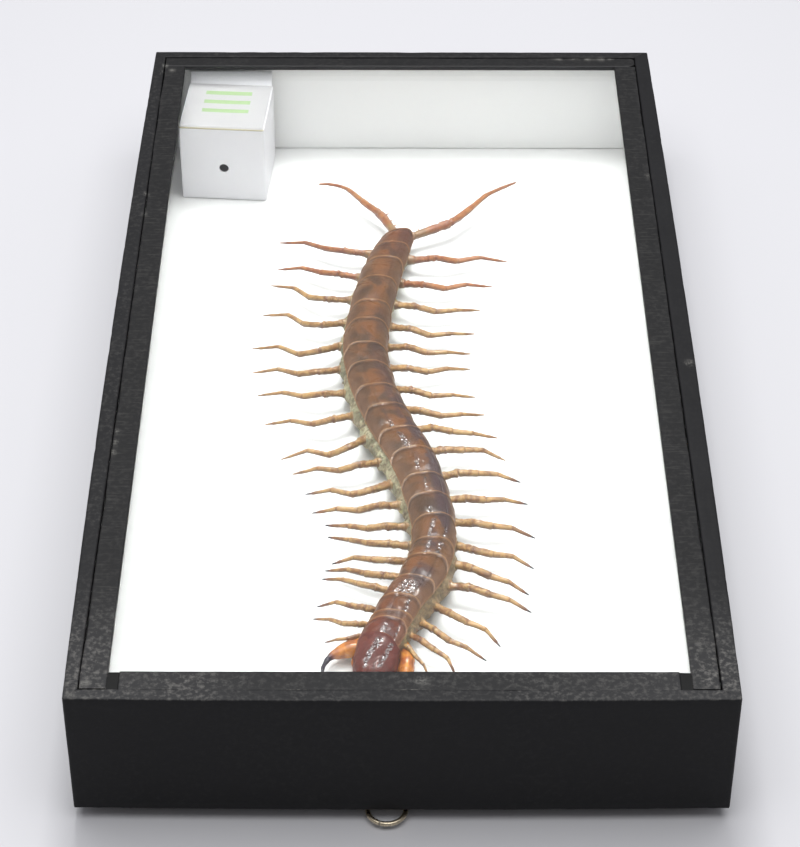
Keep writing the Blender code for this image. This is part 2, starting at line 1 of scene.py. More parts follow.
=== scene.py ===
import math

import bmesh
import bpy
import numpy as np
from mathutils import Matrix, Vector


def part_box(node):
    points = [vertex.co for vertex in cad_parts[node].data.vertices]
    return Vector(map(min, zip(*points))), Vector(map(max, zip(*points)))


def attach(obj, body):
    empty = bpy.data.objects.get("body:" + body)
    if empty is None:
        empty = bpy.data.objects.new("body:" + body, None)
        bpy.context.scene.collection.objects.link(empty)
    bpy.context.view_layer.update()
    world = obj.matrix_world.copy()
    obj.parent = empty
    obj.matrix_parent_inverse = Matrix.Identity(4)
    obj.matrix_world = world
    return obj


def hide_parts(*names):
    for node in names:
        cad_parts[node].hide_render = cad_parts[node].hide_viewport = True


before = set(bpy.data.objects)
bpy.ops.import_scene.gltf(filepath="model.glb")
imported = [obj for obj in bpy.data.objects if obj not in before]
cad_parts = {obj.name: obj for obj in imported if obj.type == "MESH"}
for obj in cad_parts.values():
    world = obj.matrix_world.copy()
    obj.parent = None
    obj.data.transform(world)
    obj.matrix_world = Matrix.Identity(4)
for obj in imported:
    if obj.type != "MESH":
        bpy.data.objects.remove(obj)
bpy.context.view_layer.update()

# Looks of the framed centipede: a black paper-covered display box that lies on its back,
# with a large dried centipede and a card box of moth repellent behind its glass.
#
# Shapes are worked out in mm in the box's own frame, (x, y, height over the white card)
# or (x, y, height over the back), and put into the shared frame in metres at the end.

MM = 0.001
PER_MM = 1000.0  # Object coordinates are in metres, and textures work in mm
BOX, RING = "display_box", "ring"

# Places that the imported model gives, in metres
BACK_LOW, BACK_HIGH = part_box("back_board")
BOX_Y = (BACK_LOW.y + BACK_HIGH.y) / 2
BACK_Z = BACK_LOW.z
CARD_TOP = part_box("backing_card")[1].z

# Box, mm
WIDTH = 150.6
LENGTH = 280.8
DEPTH = 35.1
WALL = 3.2
WALL_RIGHT = 4.2
LEFT_BOW = 1.0
RIGHT_BOW = 0.65
NEAR_BOW = 0.6
EDGE_ROUND = 0.45
STRIP_SNUG = 0.26  # how far a strip's paper reaches out to the wall over its solid
CORNER_ROUND = 0.7

# Centipede: its midline from tail to head, mm from the middle of the box
MIDLINE_MM = ((1, 86), (-4, 68), (-8, 48), (-10.5, 26), (-9.5, 10), (-5, -9), (1.5, -26), (6, -43),
              (8, -58), (6, -71), (0, -83), (-5, -94), (-6.5, -102), (-7, -108))
TAIL_START = 4.0
SEGMENTS = (5, 13.5, 10.5, 11, 10.5, 10, 10, 10, 9, 10, 10, 10, 8.5, 8.5, 8.5, 6.5, 8, 6.5, 7, 4.5, 5.5)
# The back plates' rear edges along the midline. The short collar behind the first leg pair
# is narrower than its segment.
PLATE_EDGES = (5.6, 14, 22.7, 33.6, 46, 54.7, 66, 74.8, 85.4, 94.6, 105.5, 114.5, 125, 132.9, 141.3, 150.1,
               156.8, 165.9, 173.2, 178.7, 181.4, 187.8)
BODY_WIDTH = ((0, 5), (5, 7.6), (9, 9.4), (15, 11), (33, 12.2), (60, 12.9), (90, 14), (112, 14.2), (130, 13),
              (147, 11.4), (160, 12.6), (170, 12.2), (180, 11), (188, 10.6))
BODY_LEAN = ((0, 0.8), (22, 0), (40, 0.3), (62, 0.3), (80, 0.8), (95, 1.6), (115, 1.8), (128, 1.2),
             (140, 1), (150, 0.3), (160, -0.7), (172, -0.9), (183, 0.3), (200, 0.3))
BODY_ROLL = ((0, 10), (30, 6), (62, 10), (126, 12), (140, 4), (152, -10), (175, -14),
             (188, -8))  # degrees to +X
BODY_RISE = ((4, 0.5), (40, 1), (168, 1), (187, 0.8))
BODY_MIDDLE = 4.3
BODY_UP = 4.8
BODY_DOWN = 4.0
SECTION_ROUND = 0.8
SKIN_ROWS, SKIN_AROUND = 560, 56

# Legs from the tail forward: (reach, turn in degrees towards the tail, and how far the
# path lies tailward of its chord at one third and at two thirds)
LEFT_LEGS = (
    (28, 17, -2.5, 0), (24.5, 15, -1.5, 0.5), (25, 22, -4.5, -1), (24, 14, -5, -0.5),
    (24.5, 2, -5.5, -1.5), (24, 2, -3.5, -0.5), (23.5, 4, -2.5, -0.5), (23, -3, -3.5, -1),
    (22, -15, -4.5, -0.5), (22, -6, -2.5, -0.5), (21.5, -4, -4, -1), (22, -2, -1.5, -0.5),
    (20.5, 7, -2, -1.5), (21.5, 14, -2, -1.5), (19, 2, -1, 1), (19.5, 12, -1.5, 0),
    (18.5, 20, -1, 0), (15.5, 10, -1, 1), (14.5, 13, -2.5, -1), (9.5, -6, -1.5, -1),
)
RIGHT_LEGS = (
    (28.5, 3, -2, 0), (26, 1, -3.5, -1.5), (24, -1, -3.5, -3), (23.5, -3, -3.5, -3),
    (23, -2, -2, -2), (22.5, 4, -3, -2), (22, -4, -2.5, -2), (22, -1, -3, -2.5),
    (22.5, -4, -0.5, -0.5), (20.5, -5, 0, 2), (21, -1, 0.5, 1.5), (20.5, 0, -1, 0),
    (21, -12, -0.5, 1), (20.5, -20, -1.5, 1), (20, -27, -0.5, 0.5), (21, -20, 0.5, 1),
    (19.5, -38, -0.5, 1.5), (19, -36, -1.5, -0.5), (15.5, -48, 0, 1.5), (11, -58, 0, 0.5),
)
LEG_PLACE = ((0, 0.55), (4, 0.6), (8, 0.72), (12, 0.8), (15, 0.7), (18, 0.75), (19, 0.55))
LEG_HEIGHTS = (4.0, 4.1, 5.1, 4.2, 2.5)  # in the body, at the root, at the thirds, at the tip
LEG_LONGER = 1.025
LEG_GIRTH = ((0, 0.92), (6, 0.92), (11, 1), (15, 0.98), (18, 0.78), (19, 0.56))
LEG_BENDS = {-1: ((0, 0.5), (6, 0.8), (11, 0.7), (13, 0.25), (19, 0.25)),
             1: ((0, 0.8), (7, 0.75), (9, 0.3), (13, 0.4), (19, 0.5))}
TAIL_LEGS = {
    "left": ((0, 80, 4.5), (-2.5, 83, 4.8), (-6, 90.5, 5.2), (-10.5, 96, 5.5), (-17, 105, 5.5),
             (-21.5, 107.3, 5.2), (-25.3, 107.7, 5)),
    "right": ((0.5, 79.5, 4.5), (4, 80.5, 4.8), (13, 85, 5.5), (17.5, 89, 5.8), (22, 95.5, 5.8),
              (26.5, 102, 5.5), (35, 109, 5)),
}
LEG_RUDDY = ((0, 0.9), (2, 0.5), (4, 0.1), (8, 0.15), (14, 0.8), (19, 1))
# A leg's articles: where each joint lies along it, and the radius up to there, mm
LEG_JOINTS = (0.16, 0.35, 0.55, 0.75, 0.93)
LEG_RADII = ((0, 1.9), (0.1, 1.75), (0.17, 1.2), (0.2, 1.0), (0.33, 1.08), (0.37, 0.98), (0.53, 0.98),
             (0.57, 0.84), (0.74, 0.7), (0.77, 0.58), (0.92, 0.42), (0.94, 0.33), (0.985, 0.17), (1, 0))
TAIL_LEG_JOINTS = (0.08, 0.33, 0.55, 0.74, 0.92)
TAIL_LEG_RADII = ((0, 1.15), (0.08, 1.2), (0.3, 1.3), (0.35, 1.1), (0.52, 1.0), (0.57, 0.85), (0.72, 0.72),
                  (0.77, 0.6), (0.91, 0.48), (0.94, 0.42), (0.985, 0.3), (1, 0))
TAIL_LEG_SPINES = ((0.13, 1.1), (0.2, 1.0), (0.28, 1.3))  # where along the leg, and how long
SPINE_THICK = 0.28
SPINE_OUT = 1.2  # from the leg's line to the spine's foot

# Head and what it carries, mm
HEAD_START = 187.3
HEAD_LONG = 12.0
HEAD_HALF_WIDTH = 5.5
# Rows of (share of its length, of its half width, of its height)
HEAD_SHAPE = ((0, 0.72, 0.8), (0.12, 0.93, 0.95), (0.45, 1, 1), (0.75, 0.92, 0.94), (0.92, 0.68, 0.76),
              (0.98, 0.42, 0.52), (1, 0, 0))
HEAD_MIDDLE = 4.2
HEAD_UP = 3.8
HEAD_DOWN = 2.6
FORCIPULES = {
    "left": ((-9.6, -93.4, 3.4), (-11.6, -94, 3.3), (-14.6, -95, 3.2), (-17, -96.6, 3.2), (-18.7, -99.4, 3.2),
             (-19, -102.4, 3), (-18, -105, 2.8)),
    "right": ((0.2, -91.6, 3.2), (0.9, -94.6, 3.1), (1.3, -98, 3.1), (0.9, -102, 3), (-0.6, -106, 3),
              (-2.2, -108.6, 2.8), (-3.8, -110.5, 2.6)),
}
FORCIPULE_RADII = {
    "left": ((0, 2.5), (0.14, 2.4), (0.28, 1.95), (0.4, 1.35), (0.48, 0.95), (0.52, 0.72), (0.7, 0.5),
             (0.88, 0.28), (1, 0)),
    "right": ((0, 1.3), (0.12, 1.75), (0.3, 2.0), (0.5, 1.85), (0.6, 1.2), (0.66, 0.8), (0.8, 0.5),
              (0.93, 0.22), (1, 0)),
}
CLAW_DARK_FROM = {"left": 0.42, "right": 0.56}  # share of a poison claw's length
CLAW_DARK_MARK = 0.42  # what the mark "along" says there
ANTENNAE = {
    "left": ((-9.4, -108.6, 4.6), (-13, -114.5, 5.4), (-20.5, -120.5, 5.6), (-30, -124, 5),
             (-38, -124.5, 4.4)),
    "right": ((-5.2, -109.4, 4.6), (-1.5, -115.5, 5.4), (6, -121, 5.6), (15.5, -124, 5),
              (23.5, -124.5, 4.4)),
}
ANTENNA_RADII = ((0, 0.75), (0.3, 0.65), (0.7, 0.45), (0.97, 0.25), (1, 0))
ANTENNA_BEADS = 18
JAW_AT = 191.0  # along the midline
JAW_SIZE = (6.2, 5.0, 1.1)  # half its width, half its length and half its thickness

# A side's four eyes: how far forward and out of the head's midline, and the height
EYES_AT = HEAD_START + 9.9
EYES = ((0.0, 3.55, 5.9), (0.7, 3.15, 6.0), (0.1, 3.9, 5.2), (0.85, 3.5, 5.2))
EYE_RADIUS = 0.32

# The card box of moth repellent, mm in its own frame: its middle is the origin
MOTH_SIDE = 25.5
MOTH_TALL = 25.2
MOTH_CARD = 0.5
MOTH_AT = (-52.9, 119.5)
MOTH_TURN = math.radians(-4.1)
MOTH_ROUND = 0.6
MOTH_LOW = 0.3  # over the card
MOTH_SHARP = 40  # edges of its card stay sharp from this angle, in degrees
LIP_DEEP = 0.8  # how far its yellowed rim reaches back from the near face
LID_GAP = 0.3  # between the lid and the sleeve on each side
LID_BEND = 0.8
LID_TUCK = 3.0  # how far the lid's front edge reaches down
VENT = (0.3, 11.0, 1.45)  # its place across and up, and its radius
MOTIF_PITCH = 5.0
MOTIF_BAR = 2.0
MOTIF_REACH = 6.5
MOTIF_WIDE = 14.0
MOTIF_AT = 2.2  # how far the bars' middle lies behind the lid's

# Camera of the photo, worked out from the box's corners
FOCAL_PIXELS = 2565.92
PHOTO_HIGH = 847
SENSOR_MM = 36.0
CAMERA_AT = (-1.018, -546.033, 435.743)  # mm, in the box's own frame, over its back
CAMERA_PITCH, CAMERA_YAW, CAMERA_ROLL = 38.5139, 0.0595, 0.1096  # degrees

# Floor, room and lamps. A lamp is (name, place, whether it aims at the box, size, watts).
FLOOR_TONE = (0.60, 0.60, 0.625, 1.0)
FLOOR_SIZE = 3.0
FAR_ROOM = ((0.42, 0.42, 0.43), (0.34, 0.34, 0.36))  # its tone high up and low down
NEAR_ROOM = ((0.46, 0.46, 0.47), (0.21, 0.21, 0.22))
LAMPS = (("overhead", (0, -0.06, 0.9), False, 1.0, 7.0), ("window", (-0.03, 0.28, 0.9), True, 0.25, 4.2))


# Working with arrays of points

def table(rows, at):
    """Read (place, value) rows at an array of places, with straight lines between them."""
    places, values = zip(*rows)
    return np.interp(at, places, values)


def smooth_path(points, steps):
    """Points on a Catmull-Rom spline through the given ones, with this many steps in
    each span: half of (2b + (c-a)t + (2a-5b+4c-d)t^2 + (3b-a-3c+d)t^3)."""
    given = np.asarray(points, float)
    padded = np.vstack([2 * given[0] - given[1], given, 2 * given[-1] - given[-2]])
    a, b, c, d = (padded[i:len(padded) - 3 + i, None] for i in range(4))
    t = np.linspace(0, 1, steps, endpoint=False)[None, :, None]
    spans = 0.5 * (2 * b + (c - a) * t + (2 * a - 5 * b + 4 * c - d) * t ** 2
                   + (3 * b - a - 3 * c + d) * t ** 3)
    return np.vstack([spans.reshape(-1, given.shape[1]), given[-1:]])


def lengths_along(path):
    """Distance of each point of a path from its start."""
    return np.concatenate([[0.0], np.cumsum(np.linalg.norm(np.diff(path, axis=0), axis=1))])


def shares_along(path):
    """Each point's distance from the start of a path as a share of its length."""
    length = lengths_along(path)
    return length / length[-1]


def read_path(path, shares):
    """Points of a path at the given shares of its length."""
    length = lengths_along(path)
    return np.stack([np.interp(shares * length[-1], length, column) for column in path.T], axis=-1)


def unit(vectors):
    """Vectors scaled to length one."""
    return vectors / np.maximum(np.linalg.norm(vectors, axis=-1, keepdims=True), 1e-12)


def bell(distance, width):
    """A smooth bump that is 1 at zero and falls off over the width."""
    return np.exp(-(distance / width) ** 2)


def ease_step(low, high, value):
    """0 below low, 1 above high, and 3t^2 - 2t^3 between."""
    t = np.clip((value - low) / (high - low), 0, 1)
    return t * t * (3 - 2 * t)


def waviness(points, size, seed, waves=14):
    """Smooth unevenness between about -1 and 1: the sum of sine waves in random
    directions, each about `size` long, over the square root of their count."""
    rng = np.random.default_rng(seed)
    ways = unit(rng.normal(size=(waves, 3))) * (2 * np.pi / (size * rng.uniform(0.6, 1.7, (waves, 1))))
    phases = rng.uniform(0, 2 * np.pi, waves)
    return np.sin(points @ ways.T + phases).sum(-1) / math.sqrt(waves)


def outward(points, around=False):
    """Unit normals of a grid of points: the cross product of its steps along the columns
    and along the rows. A grid that goes around joins its last column to its first."""
    if around:
        over = np.roll(points, -1, axis=1) - np.roll(points, 1, axis=1)
    else:
        over = np.gradient(points, axis=1)
    return unit(np.cross(over, np.gradient(points, axis=0)))


def over_card(points):
    """Points in mm with a height over the card, in the shared frame in metres."""
    return np.asarray(points) * MM + np.array((0.0, BOX_Y, CARD_TOP))


def over_back(points):
    """Points in mm with a height over the box's back, in the shared frame in metres."""
    return np.asarray(points) * MM + np.array((0.0, BOX_Y, BACK_Z))


def turns(count):
    """Equal angles once round, as one row."""
    return 2 * np.pi * np.arange(count)[None, :] / count


def tube(path, radii, sides, crease=0.0):
    """A round skin along a path: point + radius * (cos a * side + sin a * top), with one
    row for each point of the path and a column for each angle a. A crease pulls the skin
    in along its upper near side."""
    tangent = unit(np.gradient(path, axis=0))
    side = unit(np.cross(tangent, (0.0, 0.0, 1.0)))
    top = np.cross(side, tangent)
    a = turns(sides)
    ring = np.cos(a)[..., None] * side[:, None] + np.sin(a)[..., None] * top[:, None]
    size = np.asarray(radii)[:, None] * (1 - crease * bell(np.sin((a - 1.1) / 2), 0.22))
    return path[:, None] + size[..., None] * ring


def swollen(skin, line, lift):
    """A tube's skin moved away from its line by a lift in mm."""
    return skin + unit(skin - line[:, None] + 1e-9) * lift[..., None]


def rounded_section(wide, tall, radius, steps):
    """Points round a rectangle with rounded corners, from its lower left corner, and how
    far each lies from the nearest upper corner. Straight sides have steps points."""
    corners = ((radius, radius, 180), (wide - radius, radius, 270),
               (wide - radius, tall - radius, 0), (radius, tall - radius, 90))
    arcs = [np.stack([x + radius * np.cos(a), y + radius * np.sin(a)], -1)
            for x, y, start in corners for a in [np.radians(start + np.linspace(0, 90, 5))]]
    points = []
    for number, arc in enumerate(arcs):
        begin, end = arc[-1], arcs[(number + 1) % 4][0]
        t = np.linspace(0, 1, steps[number % 2] + 1)[1:-1, None]
        points += [arc, begin + (end - begin) * t]
    points = np.vstack(points)
    to_edge = np.minimum(*(np.hypot(points[:, 0] - x, points[:, 1] - tall) for x in (0, wide)))
    return points, to_edge


# Making pieces

def linked(name, data):
    """A new object in the scene."""
    made = bpy.data.objects.new(name, data)
    bpy.context.scene.collection.objects.link(made)
    return made


def linked_bmesh(name, bm):
    """A new object in the scene with a bmesh's shape. The bmesh is freed."""
    mesh = bpy.data.meshes.new(name)
    bm.to_mesh(mesh)
    bm.free()
    return linked(name, mesh)


def smooth(mesh, sharp):
    """Shade a mesh smoothly but for the edges that are sharper than so many degrees."""
    mesh.shade_smooth()
    if sharp is not None:
        mesh.set_sharp_from_angle(angle=math.radians(sharp))


def piece(name, grids, finish, replaced, body=BOX, sharp=None):
    """One object from grids of points in metres. A grid is (points, around, marks): its
    rows and columns become quads, and the last column joins the first where it goes
    around. Marks are named values for each point, which the materials read. Rows or
    columns that meet in one point are merged, which closes seams and poles. The piece
    gets its finish, its body and the CAD nodes that it stands for."""
    corners, quads, marks = [], [], {}
    start = 0
    for points, around, given in grids:
        rows, columns = points.shape[:2]
        i, j = np.meshgrid(np.arange(rows - 1), np.arange(columns if around else columns - 1), indexing="ij")
        k = (j + 1) % columns
        quad = np.stack([i * columns + j, i * columns + k, (i + 1) * columns + k, (i + 1) * columns + j], -1)
        quads.append(start + quad.reshape(-1, 4))
        corners.append(points.reshape(-1, 3))
        for word, value in given.items():
            marks.setdefault(word, []).append(np.broadcast_to(value, (rows, columns)).ravel())
        start += rows * columns
    mesh = bpy.data.meshes.new(name)
    mesh.from_pydata(np.vstack(corners).tolist(), [], np.vstack(quads).tolist())
    for word, values in marks.items():
        layer = mesh.attributes.new(word, "FLOAT", "POINT")
        layer.data.foreach_set("value", np.concatenate(values).astype(np.float32))
    tidy(mesh)
    smooth(mesh, sharp)
    mesh.materials.append(finish)
    made = linked(name, mesh)
    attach(made, body)
    if replaced:
        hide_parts(*replaced)
    return made


def tidy(mesh):
    """Merge points that meet, close what is left open at the ends, turn faces outwards."""
    bm = bmesh.new()
    bm.from_mesh(mesh)
    bmesh.ops.remove_doubles(bm, verts=bm.verts, dist=1e-7)
    bmesh.ops.dissolve_degenerate(bm, edges=bm.edges, dist=1e-8)
    rims = [edge for edge in bm.edges if edge.is_boundary]
    if rims:
        bmesh.ops.holes_fill(bm, edges=rims, sides=0)
    bmesh.ops.recalc_face_normals(bm, faces=bm.faces)
    bm.to_mesh(mesh)
    bm.free()


def refinish(node, finish):
    """Put a finish on a CAD node that stays."""
    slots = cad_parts[node].data.materials
    slots.clear()
    slots.append(finish)


# Material helpers

def feed(tree, socket, value):
    """Link a socket to another one or set it. A colour may be given as three numbers."""
    if isinstance(value, bpy.types.NodeSocket):
        tree.links.new(value, socket)
    elif socket.type == "RGBA" and len(value) == 3:
        socket.default_value = (*value, 1.0)
    else:
        socket.default_value = value


def add(tree, kind, inputs=None, **settings):
    """Add a shader node with its settings, and feed its inputs by name or number."""
    made = tree.nodes.new("ShaderNode" + kind)
    for name, value in settings.items():
        setattr(made, name, value)
    for name, value in (inputs or {}).items():
        feed(tree, made.inputs[name], value)
    return made


def maths(tree, operation, first, second=0.0, clamp=False):
    """One step of arithmetic on values."""
    return add(tree, "Math", {0: first, 1: second}, operation=operation, use_clamp=clamp).outputs[0]


def times(tree, value, *others):
    """The product of values."""
    for other in others:
        value = maths(tree, "MULTIPLY", value, other)
    return value


def plus(tree, first, second):
    """The sum of two values."""
    return maths(tree, "ADD", first, second)


def fade(tree, value, low, high):
    """0 where the value is under low, 1 where it is over high, smooth between. Where low
    is the larger number it falls from 1 to 0."""
    step = add(tree, "MapRange", {"Value": value, "From Min": low, "From Max": high},
               interpolation_type="SMOOTHSTEP")
    return step.outputs["Result"]


def spread(tree, value, first, last, low=0.0, high=1.0):
    """A value between low and high carried over to first and last."""
    step = add(tree, "MapRange", {"Value": value, "From Min": low, "From Max": high,
                                  "To Min": first, "To Max": last})
    return step.outputs["Result"]


def blend(tree, factor, first, second):
    """Mix two colours, each a socket or linear RGB."""
    return add(tree, "Mix", {0: factor, 6: first, 7: second}, data_type="RGBA").outputs[2]


def layered(tree, colour, *coats):
    """Lay coats over a colour, one after the other: (mask, strength, tone). A mask that
    is a word is the mark of that name."""
    for mask, strength, tone in coats:
        mask = mark(tree, mask) if isinstance(mask, str) else mask
        colour = blend(tree, times(tree, mask, strength), colour, tone)
    return colour


def shades(tone, *shares):
    """Darker or lighter tones of a colour."""
    return [[part * share for part in tone] for share in shares]


def place_mm(tree):
    """Object coordinates in mm, which all the textures read."""
    place = add(tree, "TexCoord").outputs["Object"]
    return stretched(tree, place, (PER_MM, PER_MM, PER_MM))


def stretched(tree, where, scale):
    """Coordinates scaled along X, Y and Z."""
    return add(tree, "Mapping", {"Vector": where, "Scale": scale}).outputs[0]


def noise(tree, where, per_mm, detail=2.0, rough=0.5, twist=0.0):
    """Soft noise from 0 to 1, about `per_mm` blobs to the mm."""
    return add(tree, "TexNoise", {"Vector": where, "Scale": per_mm, "Detail": detail,
                                  "Roughness": rough, "Distortion": twist}).outputs["Fac"]


def mark(tree, name):
    """The value that the piece's points carry under that name."""
    return add(tree, "Attribute", attribute_name=name).outputs["Fac"]


def group(name, inputs, outputs):
    """A shader node group of values. Gives the group, what it is given and its results."""
    made = bpy.data.node_groups.new(name, "ShaderNodeTree")
    for label, value in inputs.items():
        socket = made.interface.new_socket(label, in_out="INPUT", socket_type="NodeSocketFloat")
        socket.default_value = value
    for label in outputs:
        made.interface.new_socket(label, in_out="OUTPUT", socket_type="NodeSocketFloat")
    return made, made.nodes.new("NodeGroupInput").outputs, made.nodes.new("NodeGroupOutput").inputs


def placed(tree, shared, inputs):
    """The outputs of a node group put into a tree with its own values."""
    return add(tree, "Group", inputs, node_tree=shared).outputs


def paper_grain_group():
    """Grain of paper or card: fine fibres drawn out along X or Y over broad cockling.
    Height goes to a bump, Mottle varies a colour."""
    made, given, result = group("paper_grain", {"Fibres": 3.0, "Cockle": 0.12}, ("Height", "Mottle"))
    where = place_mm(made)
    along = noise(made, stretched(made, where, (1.0, 0.45, 1.0)), given["Fibres"], 3.0)
    across = noise(made, stretched(made, where, (0.5, 1.1, 1.0)), given["Fibres"], 2.0)
    broad = noise(made, where, given["Cockle"])
    fibres = times(made, plus(made, along, across), 0.5)
    feed(made, result["Height"], plus(made, fibres, times(made, broad, 1.5)))
    feed(made, result["Mottle"], times(made, plus(made, fibres, broad), 0.5))
    return made


def rub_group():
    """Rubbed spots: Mask says where rubbing is likely, from 0 to 1, and the output is 1
    where the surface is worn through. Size is in spots to the mm."""
    made, given, result = group("rub", {"Mask": 0.0, "Size": 1.0, "Amount": 0.5}, ("Worn",))
    where = place_mm(made)
    fine = noise(made, where, given["Size"], 4.0, 0.65)
    broad = noise(made, where, times(made, given["Size"], 0.08), 1.0)
    likely = times(made, plus(made, fine, times(made, broad, 0.8)), given["Mask"])
    limit = maths(made, "SUBTRACT", 1.15, times(made, given["Amount"], 0.5))
    over = maths(made, "SUBTRACT", likely, limit)
    feed(made, result["Worn"], maths(made, "MULTIPLY", over, 9.0, clamp=True))
    return made


def horn_group():
    """Horn of the plates and legs: Cloud is a cloudy tone that varies a colour, and Height
    is made of pits for a bump."""
    made, given, result = group("horn", {"Pits": 2.5, "Clouds": 0.35}, ("Cloud", "Height"))
    where = place_mm(made)
    feed(made, result["Cloud"], noise(made, where, given["Clouds"], 3.0, twist=0.6))
    feed(made, result["Height"], noise(made, where, given["Pits"], 2.0, 0.6))
    return made


def material(name, roughness, **constants):
    """A Principled material with plain values. Gives the material, its tree and shader."""
    made = bpy.data.materials.new(name)
    made.use_nodes = True
    shader = made.node_tree.nodes["Principled BSDF"]
    shader.inputs["Roughness"].default_value = roughness
    for label, value in constants.items():
        shader.inputs[label.replace("_", " ")].default_value = value
    return made, made.node_tree, shader


def bump(tree, shader, height, depth_mm, strength, onto="Normal"):
    """Turn a height into a bump of that depth on the shader."""
    made = add(tree, "Bump", {"Height": height, "Distance": depth_mm * MM, "Strength": strength})
    feed(tree, shader.inputs[onto], made.outputs["Normal"])


def dress(tree, shader, colour, height, depth_mm, strength):
    """Give a shader its colour and its bump."""
    feed(tree, shader.inputs["Base Color"], colour)
    bump(tree, shader, height, depth_mm, strength)


GRAIN = paper_grain_group()
RUB = rub_group()
HORN = horn_group()


def grained(name, roughness, fibres, cockle, **constants):
    """A material with the paper's grain. Gives what material() gives, the mottle and the
    height."""
    made, tree, shader = material(name, roughness, **constants)
    grain = placed(tree, GRAIN, {"Fibres": fibres, "Cockle": cockle})
    return made, tree, shader, grain["Mottle"], grain["Height"]


def horned(name, roughness, pits, clouds, **constants):
    """A material with the horn's texture. Gives what material() gives, the cloudy tone
    and the height."""
    made, tree, shader = material(name, roughness, **constants)
    horn = placed(tree, HORN, {"Pits": pits, "Clouds": clouds})
    return made, tree, shader, horn["Cloud"], horn["Height"]


# Finishes

def black_paper(name, tone, edge_wear):
    """Black grained paper: almost black, with a grey bloom and grey-brown specks where
    the mark "grainy" is high, faint ribs, dusty seams, painted light that makes the far
    strip's inner face lighter grey, painted shade that makes the near strip's notched ends
    near black, and pale rubbed spots near the edges and where the mark "spot" says."""
    made, tree, shader, mottle, height = grained(name, 0.55, 2.2, 0.1, Specular_IOR_Level=0.16)
    where, grainy = place_mm(tree), mark(tree, "grainy")
    worn = placed(tree, RUB, {"Mask": mark(tree, "edge"), "Size": 1.1, "Amount": edge_wear})
    specks = fade(tree, noise(tree, where, 0.75, 4.0, 0.68), 0.44, 0.72)
    broad = times(tree, fade(tree, noise(tree, where, 0.06), 0.38, 0.62), 0.5)
    ribs = fade(tree, noise(tree, stretched(tree, where, (0.25, 2.2, 1.0)), 0.7), 0.55, 0.7)
    colour = layered(
        tree, blend(tree, mottle, *shades(tone, 0.5, 1.5)),
        (grainy, 0.35, (0.045, 0.045, 0.047)),
        (times(tree, specks, plus(tree, broad, 0.5), grainy), 0.9, (0.120, 0.116, 0.110)),
        (times(tree, ribs, mark(tree, "ribbed")), 0.4, (0.050, 0.049, 0.046)),
        # Dust along the seams, and painted light: the far strip's inner face painted lighter grey
        ("dust_and_painted_light", 1.0, (0.056, 0.056, 0.058)),
        # Painted shade: the near strip's notched ends painted near black
        ("pit", 1.0, (0.004, 0.004, 0.004)),
        (worn["Worn"], 0.8, (0.15, 0.145, 0.13)),
        (times(tree, mark(tree, "spot"), fade(tree, mottle, 0.42, 0.56)), 0.9, (0.20, 0.195, 0.18)))
    feed(tree, shader.inputs["Roughness"], spread(tree, mottle, 0.42, 0.68))
    dress(tree, shader, colour, height, 0.05, 0.6)
    return made


def white_card(name, tone, specks):
    """Smooth white card with a faint mottle, and a few tiny dark specks if asked."""
    made, tree, shader, mottle, height = grained(name, 0.75, 1.5, 0.03)
    colour = blend(tree, mottle, *shades(tone, 0.975, 1))
    if specks:
        dots = add(tree, "TexVoronoi", {"Vector": place_mm(tree), "Scale": 0.055}).outputs
        size = times(tree, add(tree, "SeparateColor", {"Color": dots["Color"]}).outputs[0], 0.016)
        dot = maths(tree, "LESS_THAN", dots["Distance"], size)
        colour = layered(tree, colour, (dot, 0.55, (0.25, 0.22, 0.18)))
    dress(tree, shader, colour, height, 0.02, 0.3)
    return made


def clear_glass():
    """Clear float glass. Light passes it without being bent, so its shadow is clear."""
    made, tree, shader = material("clear_glass", 0.0, Transmission_Weight=1.0, IOR=1.5,
                                  Base_Color=(0.985, 0.995, 0.99, 1.0))
    clear = add(tree, "BsdfTransparent", {"Color": (0.97, 0.98, 0.975)})
    shadow = add(tree, "LightPath").outputs["Is Shadow Ray"]
    both = add(tree, "MixShader", {0: shadow, 1: shader.outputs[0], 2: clear.outputs[0]})
    feed(tree, tree.nodes["Material Output"].inputs["Surface"], both.outputs[0])
    return made


def sparkle(tree, shader, height, beads):
    """Wet-looking beads: where the mask is high a bright clear coat over a steep fine
    bump throws small glints. Elsewhere the coat is faint."""
    where = place_mm(tree)
    cells = add(tree, "TexVoronoi", {"Vector": where, "Scale": 1.5}).outputs["Distance"]
    steep = times(tree, cells, beads, 4.4)
    bump(tree, shader, plus(tree, height, times(tree, steep, 0.5)), 0.09, 0.6)
    shader.inputs["Coat IOR"].default_value = 3.8
    bump(tree, shader, plus(tree, times(tree, height, 0.5), steep), 0.09, 0.9, onto="Coat Normal")
    grains = fade(tree, noise(tree, where, 1.5, 1.0), 0.40, 0.54)
    weight = plus(tree, times(tree, beads, grains, 1.1), 0.02)
    feed(tree, shader.inputs["Coat Weight"], maths(tree, "MINIMUM", weight, 1.0))


